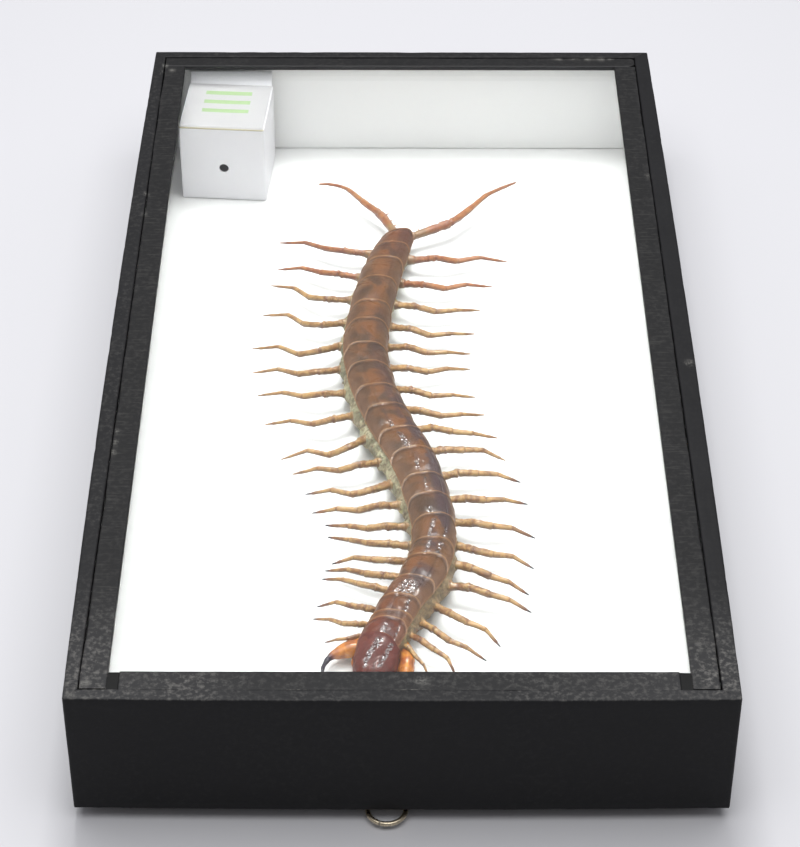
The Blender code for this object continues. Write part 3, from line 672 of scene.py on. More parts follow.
def cuticle(name, base, middle, dark, rim):
    """Back plates. They are brown with a cloudy tone, more orange in the middle, with
    painted shade that makes them darker and bluer on the right and a painted sheen that
    makes them paler on the flanks, with a tan rear rim and side edges, a dark line along
    each suture and glinting beads in their furrows. The first and last ones are redder."""
    made, tree, shader, cloud, height = horned(name, 0.3, 1.6, 0.16, Coat_Roughness=0.04,
                                               Specular_IOR_Level=0.12)
    across, behind, beads = (mark(tree, word) for word in ("across", "from_rear", "beads"))
    aside, off_middle = (maths(tree, "ABSOLUTE", value) for value in (across, plus(tree, across, 0.08)))
    patch = times(tree, fade(tree, off_middle, 0.55, 0.05), fade(tree, cloud, 0.60, 0.42))
    # Painted shade: a darker, bluer band right of the middle
    right = times(tree, fade(tree, across, -0.15, 0.1), fade(tree, across, 0.65, 0.4))
    painted_shade_band = times(tree, right, mark(tree, "painted_shade"), fade(tree, cloud, 0.36, 0.5))
    behind_rim = times(tree, fade(tree, behind, 0.5, 0.8), fade(tree, behind, 2.2, 0.9))
    groove, deep = shades(dark, 0.35, 0.5)
    colour = layered(
        tree, blend(tree, fade(tree, cloud, 0.32, 0.66), base, dark),
        (patch, 0.6, middle),
        ("ruddy", 0.9, (0.104, 0.022, 0.009)),
        ("collar", 1.0, (0.155, 0.062, 0.024)),
        # Painted sheen: paler, greyer flanks
        (fade(tree, aside, 0.45, 0.8), 0.5, (0.132, 0.073, 0.045)),
        (painted_shade_band, 0.9, (0.040, 0.022, 0.026)),
        ("suture", 0.3, groove),
        (beads, 0.75, (0.028, 0.012, 0.012)),
        (behind_rim, 0.45, deep),
        (fade(tree, behind, 0.36, 0.14), 0.8, rim),
        (fade(tree, aside, 0.93, 1.0), 0.6, rim))
    feed(tree, shader.inputs["Base Color"], colour)
    feed(tree, shader.inputs["Roughness"], spread(tree, cloud, 0.25, 0.42, 0.3, 0.7))
    sparkle(tree, shader, height, beads)
    return made


def leg_horn(name, light, deep, joint, tip):
    """Amber legs: pale gold on top and brown at the root, with painted shade that makes
    them brown below, thin red-brown lines at the joints and red-brown streaks towards the
    head. Claws are dark where the mark "clawed" is high."""
    made, tree, shader, cloud, height = horned(
        name, 0.3, 1.8, 0.45, Coat_Weight=0.7, Coat_Roughness=0.06, Specular_IOR_Level=0.3,
        Subsurface_Weight=0.12, Subsurface_Scale=0.0006)
    ruddy, clawed, along = (mark(tree, word) for word in ("ruddy", "clawed", "along"))
    redder = plus(tree, times(tree, clawed, 0.7), 0.25)
    colour = layered(
        tree, blend(tree, fade(tree, cloud, 0.38, 0.66), light, deep),
        # Painted shade: each leg's lower side darker
        ("under", 0.9, *shades(deep, 0.42)),
        (times(tree, fade(tree, cloud, 0.5, 0.66), plus(tree, ruddy, 0.05)), 0.65, joint),
        (times(tree, mark(tree, "wrinkled"), fade(tree, height, 0.42, 0.6)), 0.5, joint),
        ("joint", 0.6, joint),
        (fade(tree, along, 0.2, 0.12), 0.75, (0.20, 0.125, 0.055)),
        (fade(tree, along, 0.8, 0.95), redder, joint),
        (fade(tree, along, 0.93, 0.965), clawed, tip))
    dress(tree, shader, colour, height, 0.12, 0.6)
    return made


def membrane():
    """Dried skin between the plates and the legs: grey straw with olive and brown patches,
    browner towards the head, with painted shade in its hollows and a few yellow spots."""
    made, tree, shader, cloud, height = horned(
        "pleural_membrane", 0.5, 0.9, 0.2, Subsurface_Weight=0.1, Subsurface_Scale=0.0008,
        Specular_IOR_Level=0.3)
    olive = fade(tree, cloud, 0.38, 0.62)
    yellow = fade(tree, noise(tree, place_mm(tree), 0.16, 1.0), 0.68, 0.74)
    colour = layered(
        tree, blend(tree, olive, (0.40, 0.37, 0.24), (0.25, 0.245, 0.155)),
        ("browner", 0.85, (0.24, 0.155, 0.075)),
        (fade(tree, height, 0.46, 0.62), 0.7, (0.13, 0.085, 0.045)),
        # Painted shade: browner where the skin folds in
        ("painted_hollow_shade", 0.6, (0.11, 0.08, 0.045)),
        (yellow, 0.4, (0.50, 0.48, 0.14)),
        ("straw", 0.8, (0.60, 0.58, 0.13)))
    dress(tree, shader, colour, height, 0.45, 0.9)
    return made


def head_horn():
    """The head's dark red shield, orange-brown at its rear rim, with two rows of glinting
    beads in its furrows."""
    made, tree, shader, cloud, height = horned("head_shield", 0.36, 2.0, 0.2, Coat_Roughness=0.04,
                                               Specular_IOR_Level=0.15)
    beads = mark(tree, "beads")
    colour = layered(
        tree, blend(tree, cloud, (0.102, 0.018, 0.010), (0.048, 0.010, 0.007)),
        ("suture", 0.5, (0.035, 0.010, 0.008)),
        (beads, 0.75, (0.022, 0.007, 0.007)),
        (fade(tree, mark(tree, "from_rear"), 0.9, 0.3), 0.7, (0.19, 0.080, 0.034)))
    feed(tree, shader.inputs["Base Color"], colour)
    sparkle(tree, shader, height, beads)
    return made


def claw_horn():
    """Poison claws: clear orange at the base, red-brown, then black at the point."""
    made, tree, shader, cloud, height = horned(
        "poison_claw", 0.2, 2.0, 0.4, Coat_Weight=0.5, Coat_Roughness=0.08,
        Subsurface_Weight=0.1, Subsurface_Scale=0.0008)
    along = mark(tree, "along")
    colour = layered(
        tree, blend(tree, fade(tree, cloud, 0.35, 0.65), (0.46, 0.17, 0.020), (0.24, 0.060, 0.012)),
        (fade(tree, along, 0.40, 0.5), 1.0, (0.11, 0.022, 0.014)),
        (fade(tree, along, 0.47, 0.56), 1.0, (0.010, 0.007, 0.016)))
    dress(tree, shader, colour, height, 0.05, 0.4)
    return made


def box_card(name, tone, motif=False):
    """Card of the little box, yellowed at the cut of its rim. With a motif, its top
    carries three pale green bars."""
    made, tree, shader, mottle, height = grained(name, 0.5, 1.2, 0.05)
    colour = layered(tree, blend(tree, mottle, *shades(tone, 0.96, 1)),
                     (fade(tree, mark(tree, "lip"), 0.7, 0.85), 1.0, (0.30, 0.27, 0.16)))
    if motif:
        deep = maths(tree, "SUBTRACT", mark(tree, "deep"), MOTIF_AT)
        bars = maths(tree, "LESS_THAN", maths(tree, "PINGPONG", deep, MOTIF_PITCH / 2), MOTIF_BAR / 2)
        rows = maths(tree, "LESS_THAN", maths(tree, "ABSOLUTE", deep), MOTIF_REACH)
        columns = maths(tree, "LESS_THAN", maths(tree, "ABSOLUTE", mark(tree, "side")), MOTIF_WIDE / 2)
        colour = layered(tree, colour, (times(tree, bars, rows, columns), 0.8, (0.205, 0.345, 0.115)))
    dress(tree, shader, colour, height, 0.02, 0.3)
    return made


def metal(name, tone, roughness):
    """Plated metal with faint scratches and a duller tone in places."""
    made, tree, shader = material(name, roughness, Metallic=1.0)
    where = place_mm(tree)
    scratch = noise(tree, stretched(tree, where, (4.0, 0.4, 1.0)), 2.0, 3.0)
    dull = noise(tree, where, 0.5)
    colour = blend(tree, fade(tree, dull, 0.4, 0.7), *shades(tone, 1, 0.6))
    feed(tree, shader.inputs["Roughness"], spread(tree, dull, roughness * 0.7, roughness * 1.6))
    dress(tree, shader, colour, scratch, 0.01, 0.5)
    return made


def hardboard():
    """Brown hardboard with the pressed mesh of its rough side."""
    made, tree, shader = material("hardboard", 0.8)
    where = place_mm(tree)
    cells = add(tree, "TexVoronoi", {"Vector": where, "Scale": 0.6, "Randomness": 0.25}).outputs["Distance"]
    flakes = noise(tree, where, 0.9, 4.0, 0.7)
    colour = blend(tree, flakes, (0.055, 0.030, 0.016), (0.19, 0.115, 0.065))
    dress(tree, shader, colour, plus(tree, cells, times(tree, flakes, 0.5)), 0.12, 0.7)
    return made


# The centipede

MIDLINE = smooth_path(MIDLINE_MM, 40)
MIDLINE_AT = lengths_along(MIDLINE)


def midline(s):
    """Points of the midline at the distances s from its tail end, and the unit vectors
    across the body there, which point to its +X side."""
    def at(distance):
        return np.stack([np.interp(distance, MIDLINE_AT, column) for column in MIDLINE.T], -1)
    forward = unit(at(s + 0.5) - at(s - 0.5))
    return at(s), np.stack([-forward[..., 1], forward[..., 0]], -1)


def oval(s, angle, half, up, down, middle, lean):
    """Points round the body: across it half * cos^0.8, up it up * sin^0.8, with the sign
    kept, and the upper half leans sideways with the sine."""
    centre, across = midline(s)
    c, n = np.cos(angle), np.sin(angle)
    flat = np.sign(c) * np.abs(c) ** SECTION_ROUND
    tall = np.sign(n) * np.abs(n) ** SECTION_ROUND
    xy = centre + across * (half * flat + lean * np.maximum(n, 0))[..., None]
    return np.concatenate([xy, (middle + tall * np.where(n > 0, up, down))[..., None]], -1)


def body_point(s, angle, size=1.0):
    """Points of the trunk at the distances s and the angles round it, 0 on its right and
    a quarter turn on top."""
    half = table(BODY_WIDTH, s) / 2 * size
    up = BODY_UP * table(BODY_RISE, s) * size
    return oval(s, angle, half, up, BODY_DOWN, BODY_MIDDLE, table(BODY_LEAN, s))


def toward_head(across):
    """The unit vector along the body that goes with one across it."""
    return np.array((across[1], -across[0]))


PLATE_HALF = math.radians(66)  # from the ridge to the plate's side edge
PLATE_ARCH = 5.1  # how far the rear margin's middle lies tailward of its ends
PLATE_SKEW = 0.8  # share of the body's own slant that a margin doesn't follow
PLATE_TUCK = 1.8  # how far the front lies under the next plate
PLATE_THICK = 0.16
PLATE_ACROSS, PLATE_ALONG = 61, 34
# How far the sutures lie from their middle and the middle from the plate's, of the half width
SUTURE_PLACE = ((0, 0.24), (13, 0.24), (15, 0.14), (18, 0.18), (20, 0.2))
SUTURE_SHIFT = ((0, 0), (9, 0), (13, 0.1), (15, 0.2), (18, 0.28), (20, 0.36))
# Plates are counted from 0 at the tail. These rows say how arched the margins are, how deep
# the sutures, which plates dried crinkled, how many beads lie in the furrows and the share
# of them in the right and the left furrow.
ARCHED = ((0, 1), (1, 1.35), (4, 1.3), (7, 1), (20, 1))
SUTURED = ((0, 0.25), (6, 0.4), (9, 1), (20, 1))
CRINKLED = {17: 0.75, 11: 0.25}
BEADED = {9: 0.5, 10: 0.8, 11: 0.9, 12: 0.7, 13: 0.7, 14: 1.0, 15: 1.0, 16: 0.6, 18: 1.1, 20: 1.5}
BEAD_SIDES = {9: (0.2, 1), 10: (0.2, 1), 11: (0.2, 1), 12: (0.3, 1), 13: (0.5, 1), 14: (1, 0.9), 15: (1, 0.9),
              18: (1, 0), 20: (1, 0.7)}
COLLAR = 19
# Tones along the midline: how red, and how strong the painted shade on the right
RUDDY = ((0, 0.6), (12, 0.35), (25, 0), (150, 0), (170, 0.2), (178, 0.5), (182, 1), (187, 1))
RIGHT_PAINTED_SHADE = ((0, 0.1), (60, 0.25), (85, 0.6), (105, 0.9), (150, 0.9), (165, 0.6), (187, 0.5))


def back_plate(number):
    """One back plate as a thin closed shell. Across it u goes from -1 to 1, along it v
    from the rear margin to the front. Both margins are arches with rounded corners, arch *
    (0.37 u^2 + 0.63 |u|^5 - 0.2), less slanted than the body's cross section. Over the
    trunk's oval it is raised by a lip at the rear, a crown in the middle and small dents,
    with two lengthwise sutures."""
    rear, front = PLATE_EDGES[number], PLATE_EDGES[number + 1]
    u, v = np.meshgrid(np.linspace(-1, 1, PLATE_ACROSS), np.linspace(0, 1, PLATE_ALONG) ** 1.35,
                       indexing="ij")
    long = front - rear
    if number == 0:
        arch = (0.9 * u ** 2 + 0.1 * u ** 6 - 0.2) * PLATE_ARCH
    else:
        arch = (0.37 * u ** 2 + 0.63 * np.abs(u) ** 5 - 0.2) * PLATE_ARCH * table(ARCHED, number)
    _, side_way = midline(np.array(float(rear)))
    slant = np.sin(u * PLATE_HALF) * PLATE_SKEW * table(BODY_WIDTH, rear) / 2 * side_way[1] / side_way[0]
    start = rear + arch * min(1.0, long / 9) + slant
    s = start + (long + PLATE_TUCK) * v
    base = body_point(s, math.pi / 2 - u * PLATE_HALF - np.radians(table(BODY_ROLL, s)))
    behind = s - start
    share = np.clip(behind / (long + PLATE_TUCK), 0, 1)
    short, deep = min(1.0, long / 8), table(SUTURED, number)

    aside = np.abs(u - table(SUTURE_SHIFT, number)) - table(SUTURE_PLACE, number) - 0.04 * share
    suture = bell(aside, 0.022) * ease_step(0.5, 1.4, behind) * deep
    furrow = bell(aside, 0.07)
    lift = 0.38 * (1 - share) ** 1.5 - 0.26 * ease_step(0.5, 1.0, share)
    lift += 0.12 * bell(behind, 0.3) - 0.08 * short * bell(behind - 1.0, 0.5)
    lift += 0.30 * short * np.sin(np.pi * share) * (1 - u ** 2)
    lift -= 0.12 * suture + 0.10 * furrow * short * deep
    lift += 0.11 * bell(1 - np.abs(u), 0.035) * ease_step(0, 1, behind)
    lift += 0.09 * waviness(base, 5.5, 10 + number) + 0.04 * waviness(base, 1.9, 40 + number)
    crinkle = CRINKLED.get(number, 0.0) * bell(u - 0.15, 0.30) * bell(share - 0.5, 0.32)
    lift += crinkle * 0.12 * np.abs(waviness(base, 0.8, 90 + number))

    clumps = np.clip(0.6 + 0.4 * waviness(base * (1, 0.4, 1), 3.0, 55 + number), 0, 1)
    beads = BEADED.get(number, 0.0) * furrow * ease_step(0.1, 0.3, share) * ease_step(1.0, 0.75, share)
    right, left = BEAD_SIDES.get(number, (1.0, 0.15))
    beads = beads * clumps * np.where(u > table(SUTURE_SHIFT, number), right, left)
    lift += beads * 0.09 * waviness(base, 0.65, 70 + number)

    thick = PLATE_THICK * (1 - u ** 12)[..., None]
    normals = outward(base)
    top = base + normals * lift[..., None]
    under = top - normals * thick
    tangent = unit(top[:, 1] - top[:, 0])
    nose = (top[:, :1] + under[:, :1]) / 2 - tangent[:, None] * thick[:, :1] * 0.5
    tail = (top[:, -1:] + under[:, -1:]) / 2
    points = np.concatenate([nose, top, tail, under[:, ::-1]], axis=1)
    marks = {"across": u, "from_rear": behind, "suture": suture, "painted_shade": table(RIGHT_PAINTED_SHADE, s),
             "beads": np.clip(beads + crinkle, 0, 1), "ruddy": table(RUDDY, s)}
    marks = {word: np.concatenate([value[:, :1], value, value[:, -1:], value[:, ::-1]], axis=1)
             for word, value in marks.items()}
    marks["collar"] = 0.75 if number == COLLAR else 0.0
    return over_card(points), True, marks


def leg_place(index):
    """Where an ordinary leg leaves the body along the midline, counted from the tail."""
    return TAIL_START + sum(SEGMENTS[:index + 1]) + SEGMENTS[index + 1] * table(LEG_PLACE, index)


def trunk_skin():
    """The membrane under the plates: the trunk's oval a little smaller, bulging at each
    pair of legs and drawn into fine folds across its flanks."""
    rows = np.linspace(TAIL_START + 1.2, PLATE_EDGES[-1] + 0.3, SKIN_ROWS)[:, None]
    s, angle = np.broadcast_arrays(rows, turns(SKIN_AROUND))
    base = body_point(s, angle, 0.95 - 0.45 * bell(s - TAIL_START - 0.9, 1.2))
    flank = np.exp(-(np.sin(angle) / 0.55) ** 2)
    rears = np.array(PLATE_EDGES)
    number = np.clip(np.searchsorted(rears, s[:, 0]) - 1, 0, len(rears) - 2)
    share = ((s[:, 0] - rears[number]) / (rears[number + 1] - rears[number]))[:, None]
    root_at = np.array([leg_place(index) for index in range(len(LEFT_LEGS))])
    coxa = bell(s[..., None] - root_at, 2.1).sum(-1)
    lift = (0.75 * coxa - 0.25) * flank + 0.12 * flank * np.cos(2 * np.pi * (share - 0.5))
    lift += 0.24 * flank * waviness(base, 1.9, 5) + 0.15 * flank * waviness(base * (1, 2.2, 1), 1.0, 6)
    lift -= 0.3 * (1 - flank)
    points = base + outward(base, around=True) * lift[..., None]
    points[..., 2] = np.maximum(points[..., 2], 0.25)
    on_right = np.cos(angle) > 0
    straw = bell(s - 37, 2.2) * on_right + 0.8 * bell(s - 25, 1.6) * on_right
    # The hollows' mark carries painted shade where the skin folds in.
    return over_card(points), True, {"straw": straw, "browner": ease_step(120, 165, s),
                                     "painted_hollow_shade": np.clip(-lift / 0.4, 0, 1) * flank}


def leg_marks(along, joint=0.0, under=0.0, wrinkled=0.0, ruddy=0.0, clawed=0.0):
    """The marks that the horn of legs reads."""
    return {"along": along, "joint": joint, "under": under, "wrinkled": wrinkled, "ruddy": ruddy,
            "clawed": clawed}


def leg_shape(path, joints, radii, slim=1.0, seed=0, sides=14, ruddy=0.0, clawed=0.0, stiff=0.8):
    """One leg along a path: nearly straight articles between its joints, each article
    a little waisted, with a ring at its far end and a notch at the joint. Wrinkles show
    in the second article."""
    joints = np.array(joints)
    near = np.concatenate([joints + step for step in (-0.02, -0.01, -0.004, 0.0, 0.004, 0.012)])
    share = np.unique(np.concatenate([np.linspace(0, 1, 44), near, [0.97, 0.985, 0.995]]))
    bends = np.concatenate([[0.0], joints, [1.0]])
    straight = np.stack([np.interp(share, bends, column) for column in read_path(path, bends).T], -1)
    line = stiff * straight + (1 - stiff) * read_path(path, share)
    to_joint = share[:, None] - joints
    ring = bell(to_joint + 0.012, 0.014).sum(1)
    notch = bell(to_joint - 0.002, 0.005).sum(1)
    size = table(radii, share) * slim * (1 + 0.06 * ring - 0.10 * notch)
    skin = tube(line, size, sides, crease=0.13)
    wrinkled = (ease_step(0.14, 0.2, share) * (1 - ease_step(0.36, 0.46, share)))[:, None]
    lift = (0.06 + 0.09 * wrinkled) * waviness(skin, 1.2, seed) * np.minimum(size, 1.0)[:, None]
    # The third mark, under, is painted shade on each leg's lower side.
    marks = leg_marks(share[:, None], np.clip(bell(to_joint, 0.007).sum(1), 0, 1)[:, None],
                      ease_step(0.6, -0.5, np.sin(turns(sides))), wrinkled * (1.0 if seed % 3 else 0.5),
                      ruddy, clawed)
    return over_card(swollen(skin, line, lift)), True, marks


def leg_path(index, side):
    """Path of one of the 20 ordinary legs on a side (-1 left, 1 right), counted from the
    tail: from inside the body, out at its chord's angle, to the claw."""
    reach, turn, bow_a, bow_b = (LEFT_LEGS if side < 0 else RIGHT_LEGS)[index]
    s = leg_place(index)
    centre, across = midline(np.array(s))
    turn = math.radians(turn)
    chord = np.array([side * math.cos(turn), math.sin(turn)]) * reach
    tailward = np.array([-side * math.sin(turn), math.cos(turn)])
    half = table(BODY_WIDTH, s) / 2
    root = centre + side * across * half
    flat = (centre + side * across * half * 0.4, root - side * across * 0.6,
            root + chord / 3 + tailward * bow_a, root + chord * 2 / 3 + tailward * bow_b,
            root + chord * LEG_LONGER)
    # More of a flank shows where the body rolls away from it
    lift = 0.05 * max(0.0, -side * table(BODY_ROLL, s))
    heights = [h + lift * part for h, part in zip(LEG_HEIGHTS, (0.3, 1, 0.3, 0, 0))]
    path = smooth_path([(*xy, h) for xy, h in zip(flat, heights)], 16)
    rng = np.random.default_rng(700 + 2 * index + (side > 0))
    share = shares_along(path)
    bend = table(LEG_BENDS[side], index) * rng.uniform(0.7, 1.3, 3)
    path[:, 2] += (0.9 * bend[0] * bell(share - 0.35, 0.08) - 0.8 * bend[1] * bell(share - 0.55, 0.09)
                   + 0.4 * bend[2] * bell(share - 0.75, 0.07))
    return path


def spine(at, way, long):
    """A small pointed cone from a place in a direction."""
    share = np.array([0, 0.3, 0.7, 1.0])
    path = np.asarray(at) + way * (share * long)[:, None]
    return over_card(tube(path, SPINE_THICK * (1 - share), 6)), True, leg_marks(0.8)


def tail_leg(word, side, number):
    """One long tail leg and the spines on its inner side."""
    path = smooth_path(TAIL_LEGS[word], 12)
    shapes = [leg_shape(path, TAIL_LEG_JOINTS, TAIL_LEG_RADII, seed=160 + number, sides=16, stiff=0.4)]
    way = unit(np.array((-0.9 * side, 0.6, 0.5)))
    for share, long in TAIL_LEG_SPINES:
        shapes.append(spine(read_path(path, np.array([share]))[0] + way * SPINE_OUT, way, long))
    return shapes


def head_surface():
    """The head shield: rings of the head's oval from its raised rear rim to its rounded
    front, with two beaded furrows behind and one short furrow in front."""
    share, angle = np.broadcast_arrays((np.linspace(0, 1, 74) ** 0.9)[:, None], turns(72))
    curve = smooth_path(HEAD_SHAPE, 8)
    wide, tall = (np.interp(share, curve[:, 0], curve[:, column]) for column in (1, 2))
    above = ease_step(-0.1, 0.4, np.sin(angle))
    across = np.cos(angle)
    s = HEAD_START - 0.3 + (HEAD_LONG + 0.3) * share
    s += above * (1.2 * across * (1 - share) ** 2 - 1.3 * (1 - share) ** 3 * (1 - across ** 2))
    base = oval(s, angle, HEAD_HALF_WIDTH * wide, HEAD_UP * tall, HEAD_DOWN * tall, HEAD_MIDDLE, 0.0)
    furrow = bell(np.abs(across - 0.40 + 0.60 * share) - 0.25 - 0.05 * share, 0.09)
    furrow = furrow * ease_step(0.1, 0.2, share) * (1 - ease_step(0.72, 0.9, share)) * above
    front = bell(across, 0.05) * ease_step(0.6, 0.75, share) * above * (1 - ease_step(0.93, 1, share))
    behind = share * HEAD_LONG
    lift = 0.9 * bell(behind, 2.2) * above - 0.15 * furrow - 0.2 * front
    lift += 0.12 * above * waviness(base, 4.0, 3) + 0.05 * above * waviness(base, 1.5, 4)
    lift += furrow * 0.10 * waviness(base, 0.7, 8)
    lift = lift * ease_step(1.0, 0.9, share)
    points = base + outward(base, around=True) * lift[..., None]
    return over_card(points), True, {"suture": front, "beads": np.clip(furrow * 1.3, 0, 1),
                                     "from_rear": behind}


def forcipule_shape(word, seed):
    """A poison claw: a tube along its path, thick at the base and hooked at the point,
    which darkens from a share of its length on."""
    share = np.linspace(0, 1, 60)
    line = read_path(smooth_path(FORCIPULES[word], 12), share)
    skin = tube(line, table(FORCIPULE_RADII[word], share), 18, crease=0.12)
    skin = swollen(skin, line, 0.08 * waviness(skin, 2.0, seed))
    return over_card(skin), True, {"along": share[:, None] * CLAW_DARK_MARK / CLAW_DARK_FROM[word]}


def jaw_plate():
    """The plate under the head that carries the claws: a flat oval dish, wider than it is
    long, with its front edge drawn in at the middle."""
    a = turns(48)
    r = np.linspace(-1, 1, 21)[:, None]
    centre, across = midline(np.array(JAW_AT))
    wide, long, thick = JAW_SIZE
    ring = np.cos(r * np.pi / 2)
    side = wide * ring * np.cos(a)
    ahead = long * ring * np.sin(a) * (1 - 0.12 * bell(np.cos(a), 0.3))
    height = 2.6 + thick * np.sin(r * np.pi / 2) * np.ones_like(a)
    xy = centre + across * side[..., None] + toward_head(across) * ahead[..., None]
    return over_card(np.concatenate([xy, height[..., None]], -1)), True, {"along": 0.2}


def antenna_shape(points):
    """An antenna of round beads: the tube's radius follows the absolute sine of the
    beads' count along it."""
    share = np.linspace(0, 1, 6 * ANTENNA_BEADS + 1)
    round_bead = np.abs(np.sin(np.pi * ANTENNA_BEADS * share))
    line = read_path(smooth_path(points, 16), share)
    skin = tube(line, table(ANTENNA_RADII, share) * (0.78 + 0.22 * round_bead ** 0.6), 12)
    marks = leg_marks(share[:, None] * 0.85, (1 - round_bead ** 0.5)[:, None], wrinkled=0.3)
    return over_card(skin), True, marks


def ball(centre, radius, rows=9, columns=14):
    """A small round bead: a sphere in latitude and longitude."""
    b = np.linspace(-np.pi / 2, np.pi / 2, rows)[:, None]
    a = turns(columns)
    points = np.stack([np.cos(b) * np.cos(a), np.cos(b) * np.sin(a), np.sin(b) * np.ones_like(a)], -1)
    return over_card(np.asarray(centre) + radius * points), True, {}


def ordinary_leg(index, side, **settings):
    """One of the 20 ordinary legs on a side, counted from the tail."""
    return leg_shape(leg_path(index, side), LEG_JOINTS, LEG_RADII, table(LEG_GIRTH, index), **settings)


def centipede():
    """Back plates, membrane, legs, head, claws and antennae."""
    plates = [back_plate(number) for number in range(len(PLATE_EDGES) - 1)]
    brown = cuticle("back_plate_horn", (0.101, 0.047, 0.018), (0.146, 0.052, 0.014), (0.053, 0.026, 0.012),
                    (0.215, 0.112, 0.042))
    for word, first, last in (("tail", 0, 7), ("middle", 7, 14), ("front", 14, 21)):
        piece(f"back_plates_{word}", plates[first:last], brown, ["centipede_trunk"], sharp=50)
    piece("trunk_skin", [trunk_skin()], membrane(), ["centipede_trunk"])

    amber = leg_horn("leg_amber", (0.39, 0.235, 0.088), (0.25, 0.125, 0.042), (0.125, 0.042, 0.017),
                     (0.012, 0.007, 0.012))
    orange = leg_horn("leg_orange", (0.34, 0.140, 0.045), (0.235, 0.076, 0.025), (0.12, 0.030, 0.014),
                      (0.02, 0.008, 0.006))
    sides = {"left": -1, "right": 1}
    for word, side in sides.items():
        legs = [ordinary_leg(index, side, seed=100 + 2 * index + (side > 0), ruddy=table(LEG_RUDDY, index),
                             clawed=float(index >= 10)) for index in range(2, len(LEFT_LEGS))]
        piece(f"legs_{word}", legs, amber, ["centipede_trunk"])
    rear = [ordinary_leg(index, side, seed=150 + side) for side in sides.values() for index in (0, 1)]
    for number, (word, side) in enumerate(sides.items()):
        rear += tail_leg(word, side, number)
    piece("legs_tail", rear, orange, ["centipede_trunk"])

    piece("head_shield", [head_surface()], head_horn(), ["centipede_head"])
    claw = claw_horn()
    feeler = leg_horn("antenna_horn", (0.34, 0.16, 0.06), (0.22, 0.09, 0.035), (0.10, 0.035, 0.016),
                      (0.20, 0.09, 0.04))
    for number, word in enumerate(sides):
        shape = forcipule_shape(word, 20 + number)
        piece(f"poison_claw_{word}", [shape], claw, [f"forcipule_{word}"])
    piece("jaw_plate", [jaw_plate()], claw, [])
    for word in sides:
        piece(f"feeler_{word}", [antenna_shape(ANTENNAE[word])], feeler, [f"antenna_{word}"])
    eye, _, _ = material("ocellus", 0.1, Base_Color=(0.006, 0.005, 0.005, 1.0))
    centre, across = midline(np.array(EYES_AT))
    eyes = [ball((*(centre + across * side * out + toward_head(across) * ahead), up), EYE_RADIUS)
            for side in sides.values() for ahead, out, up in EYES]
    piece("ocelli", eyes, eye, [])


# The box

BLACK_WRAP = black_paper("black_wrap_paper", (0.0095, 0.0095, 0.0105), 0.45)
BLACK_STRIP = black_paper("black_strip_paper", (0.0105, 0.0105, 0.011), 0.6)
# How grey with dust the near end's upper face is along X
NEAR_DUST = ((-76, 1.5), (-48, 1.1), (-30, 0.4), (22, 0.4), (45, 0.9), (76, 1.4))
# Rubbed spots on the box's upper face: (x, y, size), mm
WORN_SPOTS = (
    (4.1, -134.4, 1.3), (-70.6, -135.2, 0.9), (-73.4, -139.4, 0.8), (-71.6, -45.8, 0.8), (-71.3, -50, 0.8),
    (-71.4, -54, 0.8), (73.4, 90.7, 0.8), (70.2, 71, 0.7), (-71.9, 132.2, 0.8), (-72.6, 128, 0.9),
    (-69.6, 129.6, 0.7), (74.4, -17.4, 1.0), (47.5, 136.4, 0.7), (53, 136.5, 0.8), (57, 136.4, 0.8),
    (60.5, 136.5, 0.9), (64, 136.4, 0.6), (-72.1, 61.9, 0.6), (-72.1, 52, 0.6),
)
SHARP = 60  # edges of the boards, the strips and the ring stay sharp from this angle, degrees
CORNER_WEAR = 22.0  # how far the wear of the corners reaches along a board
STRIP_ROUND = 0.35
TUCKED_ROUND = 0.15  # of the near strip, which lies tight against its board
NOTCH_REACH = 0.4  # how far the near strip's lowered ends reach past its solid


def dust(x, y, elsewhere):
    """How grainy the upper face is: most at the near end's corners."""
    return elsewhere + (table(NEAR_DUST, x) - elsewhere) * ease_step(-95, -134, y)


def worn_spots(points):
    """How strongly each point lies in one of the rubbed spots, from 0 to 1."""
    far = [np.hypot(points[..., 0] - x, points[..., 1] - y) / size for x, y, size in WORN_SPOTS]
    return bell(np.min(far, axis=0), 1.0)


def outer_corner_rounded(x, y):
    """Pull points near the box's upright corners in to a quarter round."""
    from_x = CORNER_ROUND - (WIDTH / 2 - np.abs(x))
    from_y = CORNER_ROUND - (LENGTH / 2 - np.abs(y))
    far = np.hypot(from_x, from_y)
    beyond = (from_x > 0) & (from_y > 0) & (far > CORNER_ROUND)
    scale = CORNER_ROUND / np.maximum(far, 1e-9)
    x = np.where(beyond, np.sign(x) * (WIDTH / 2 - CORNER_ROUND + from_x * scale), x)
    y = np.where(beyond, np.sign(y) * (LENGTH / 2 - CORNER_ROUND + from_y * scale), y)
    return x, y


def papered(name, points, paper, edge, grainy, spot, ribbed=0.0, pit=0.0, dust_and_painted_light=0.0):
    """A wall or a strip in its black paper. It stands for the CAD node of its name."""
    kind, side = name.split("_")
    marks = {"edge": edge, "grainy": grainy, "spot": spot, "ribbed": ribbed, "pit": pit, "dust_and_painted_light": dust_and_painted_light}
    piece(f"{kind}_wrap_{side}", [(over_back(points), True, marks)], paper, [name],
          sharp=SHARP)


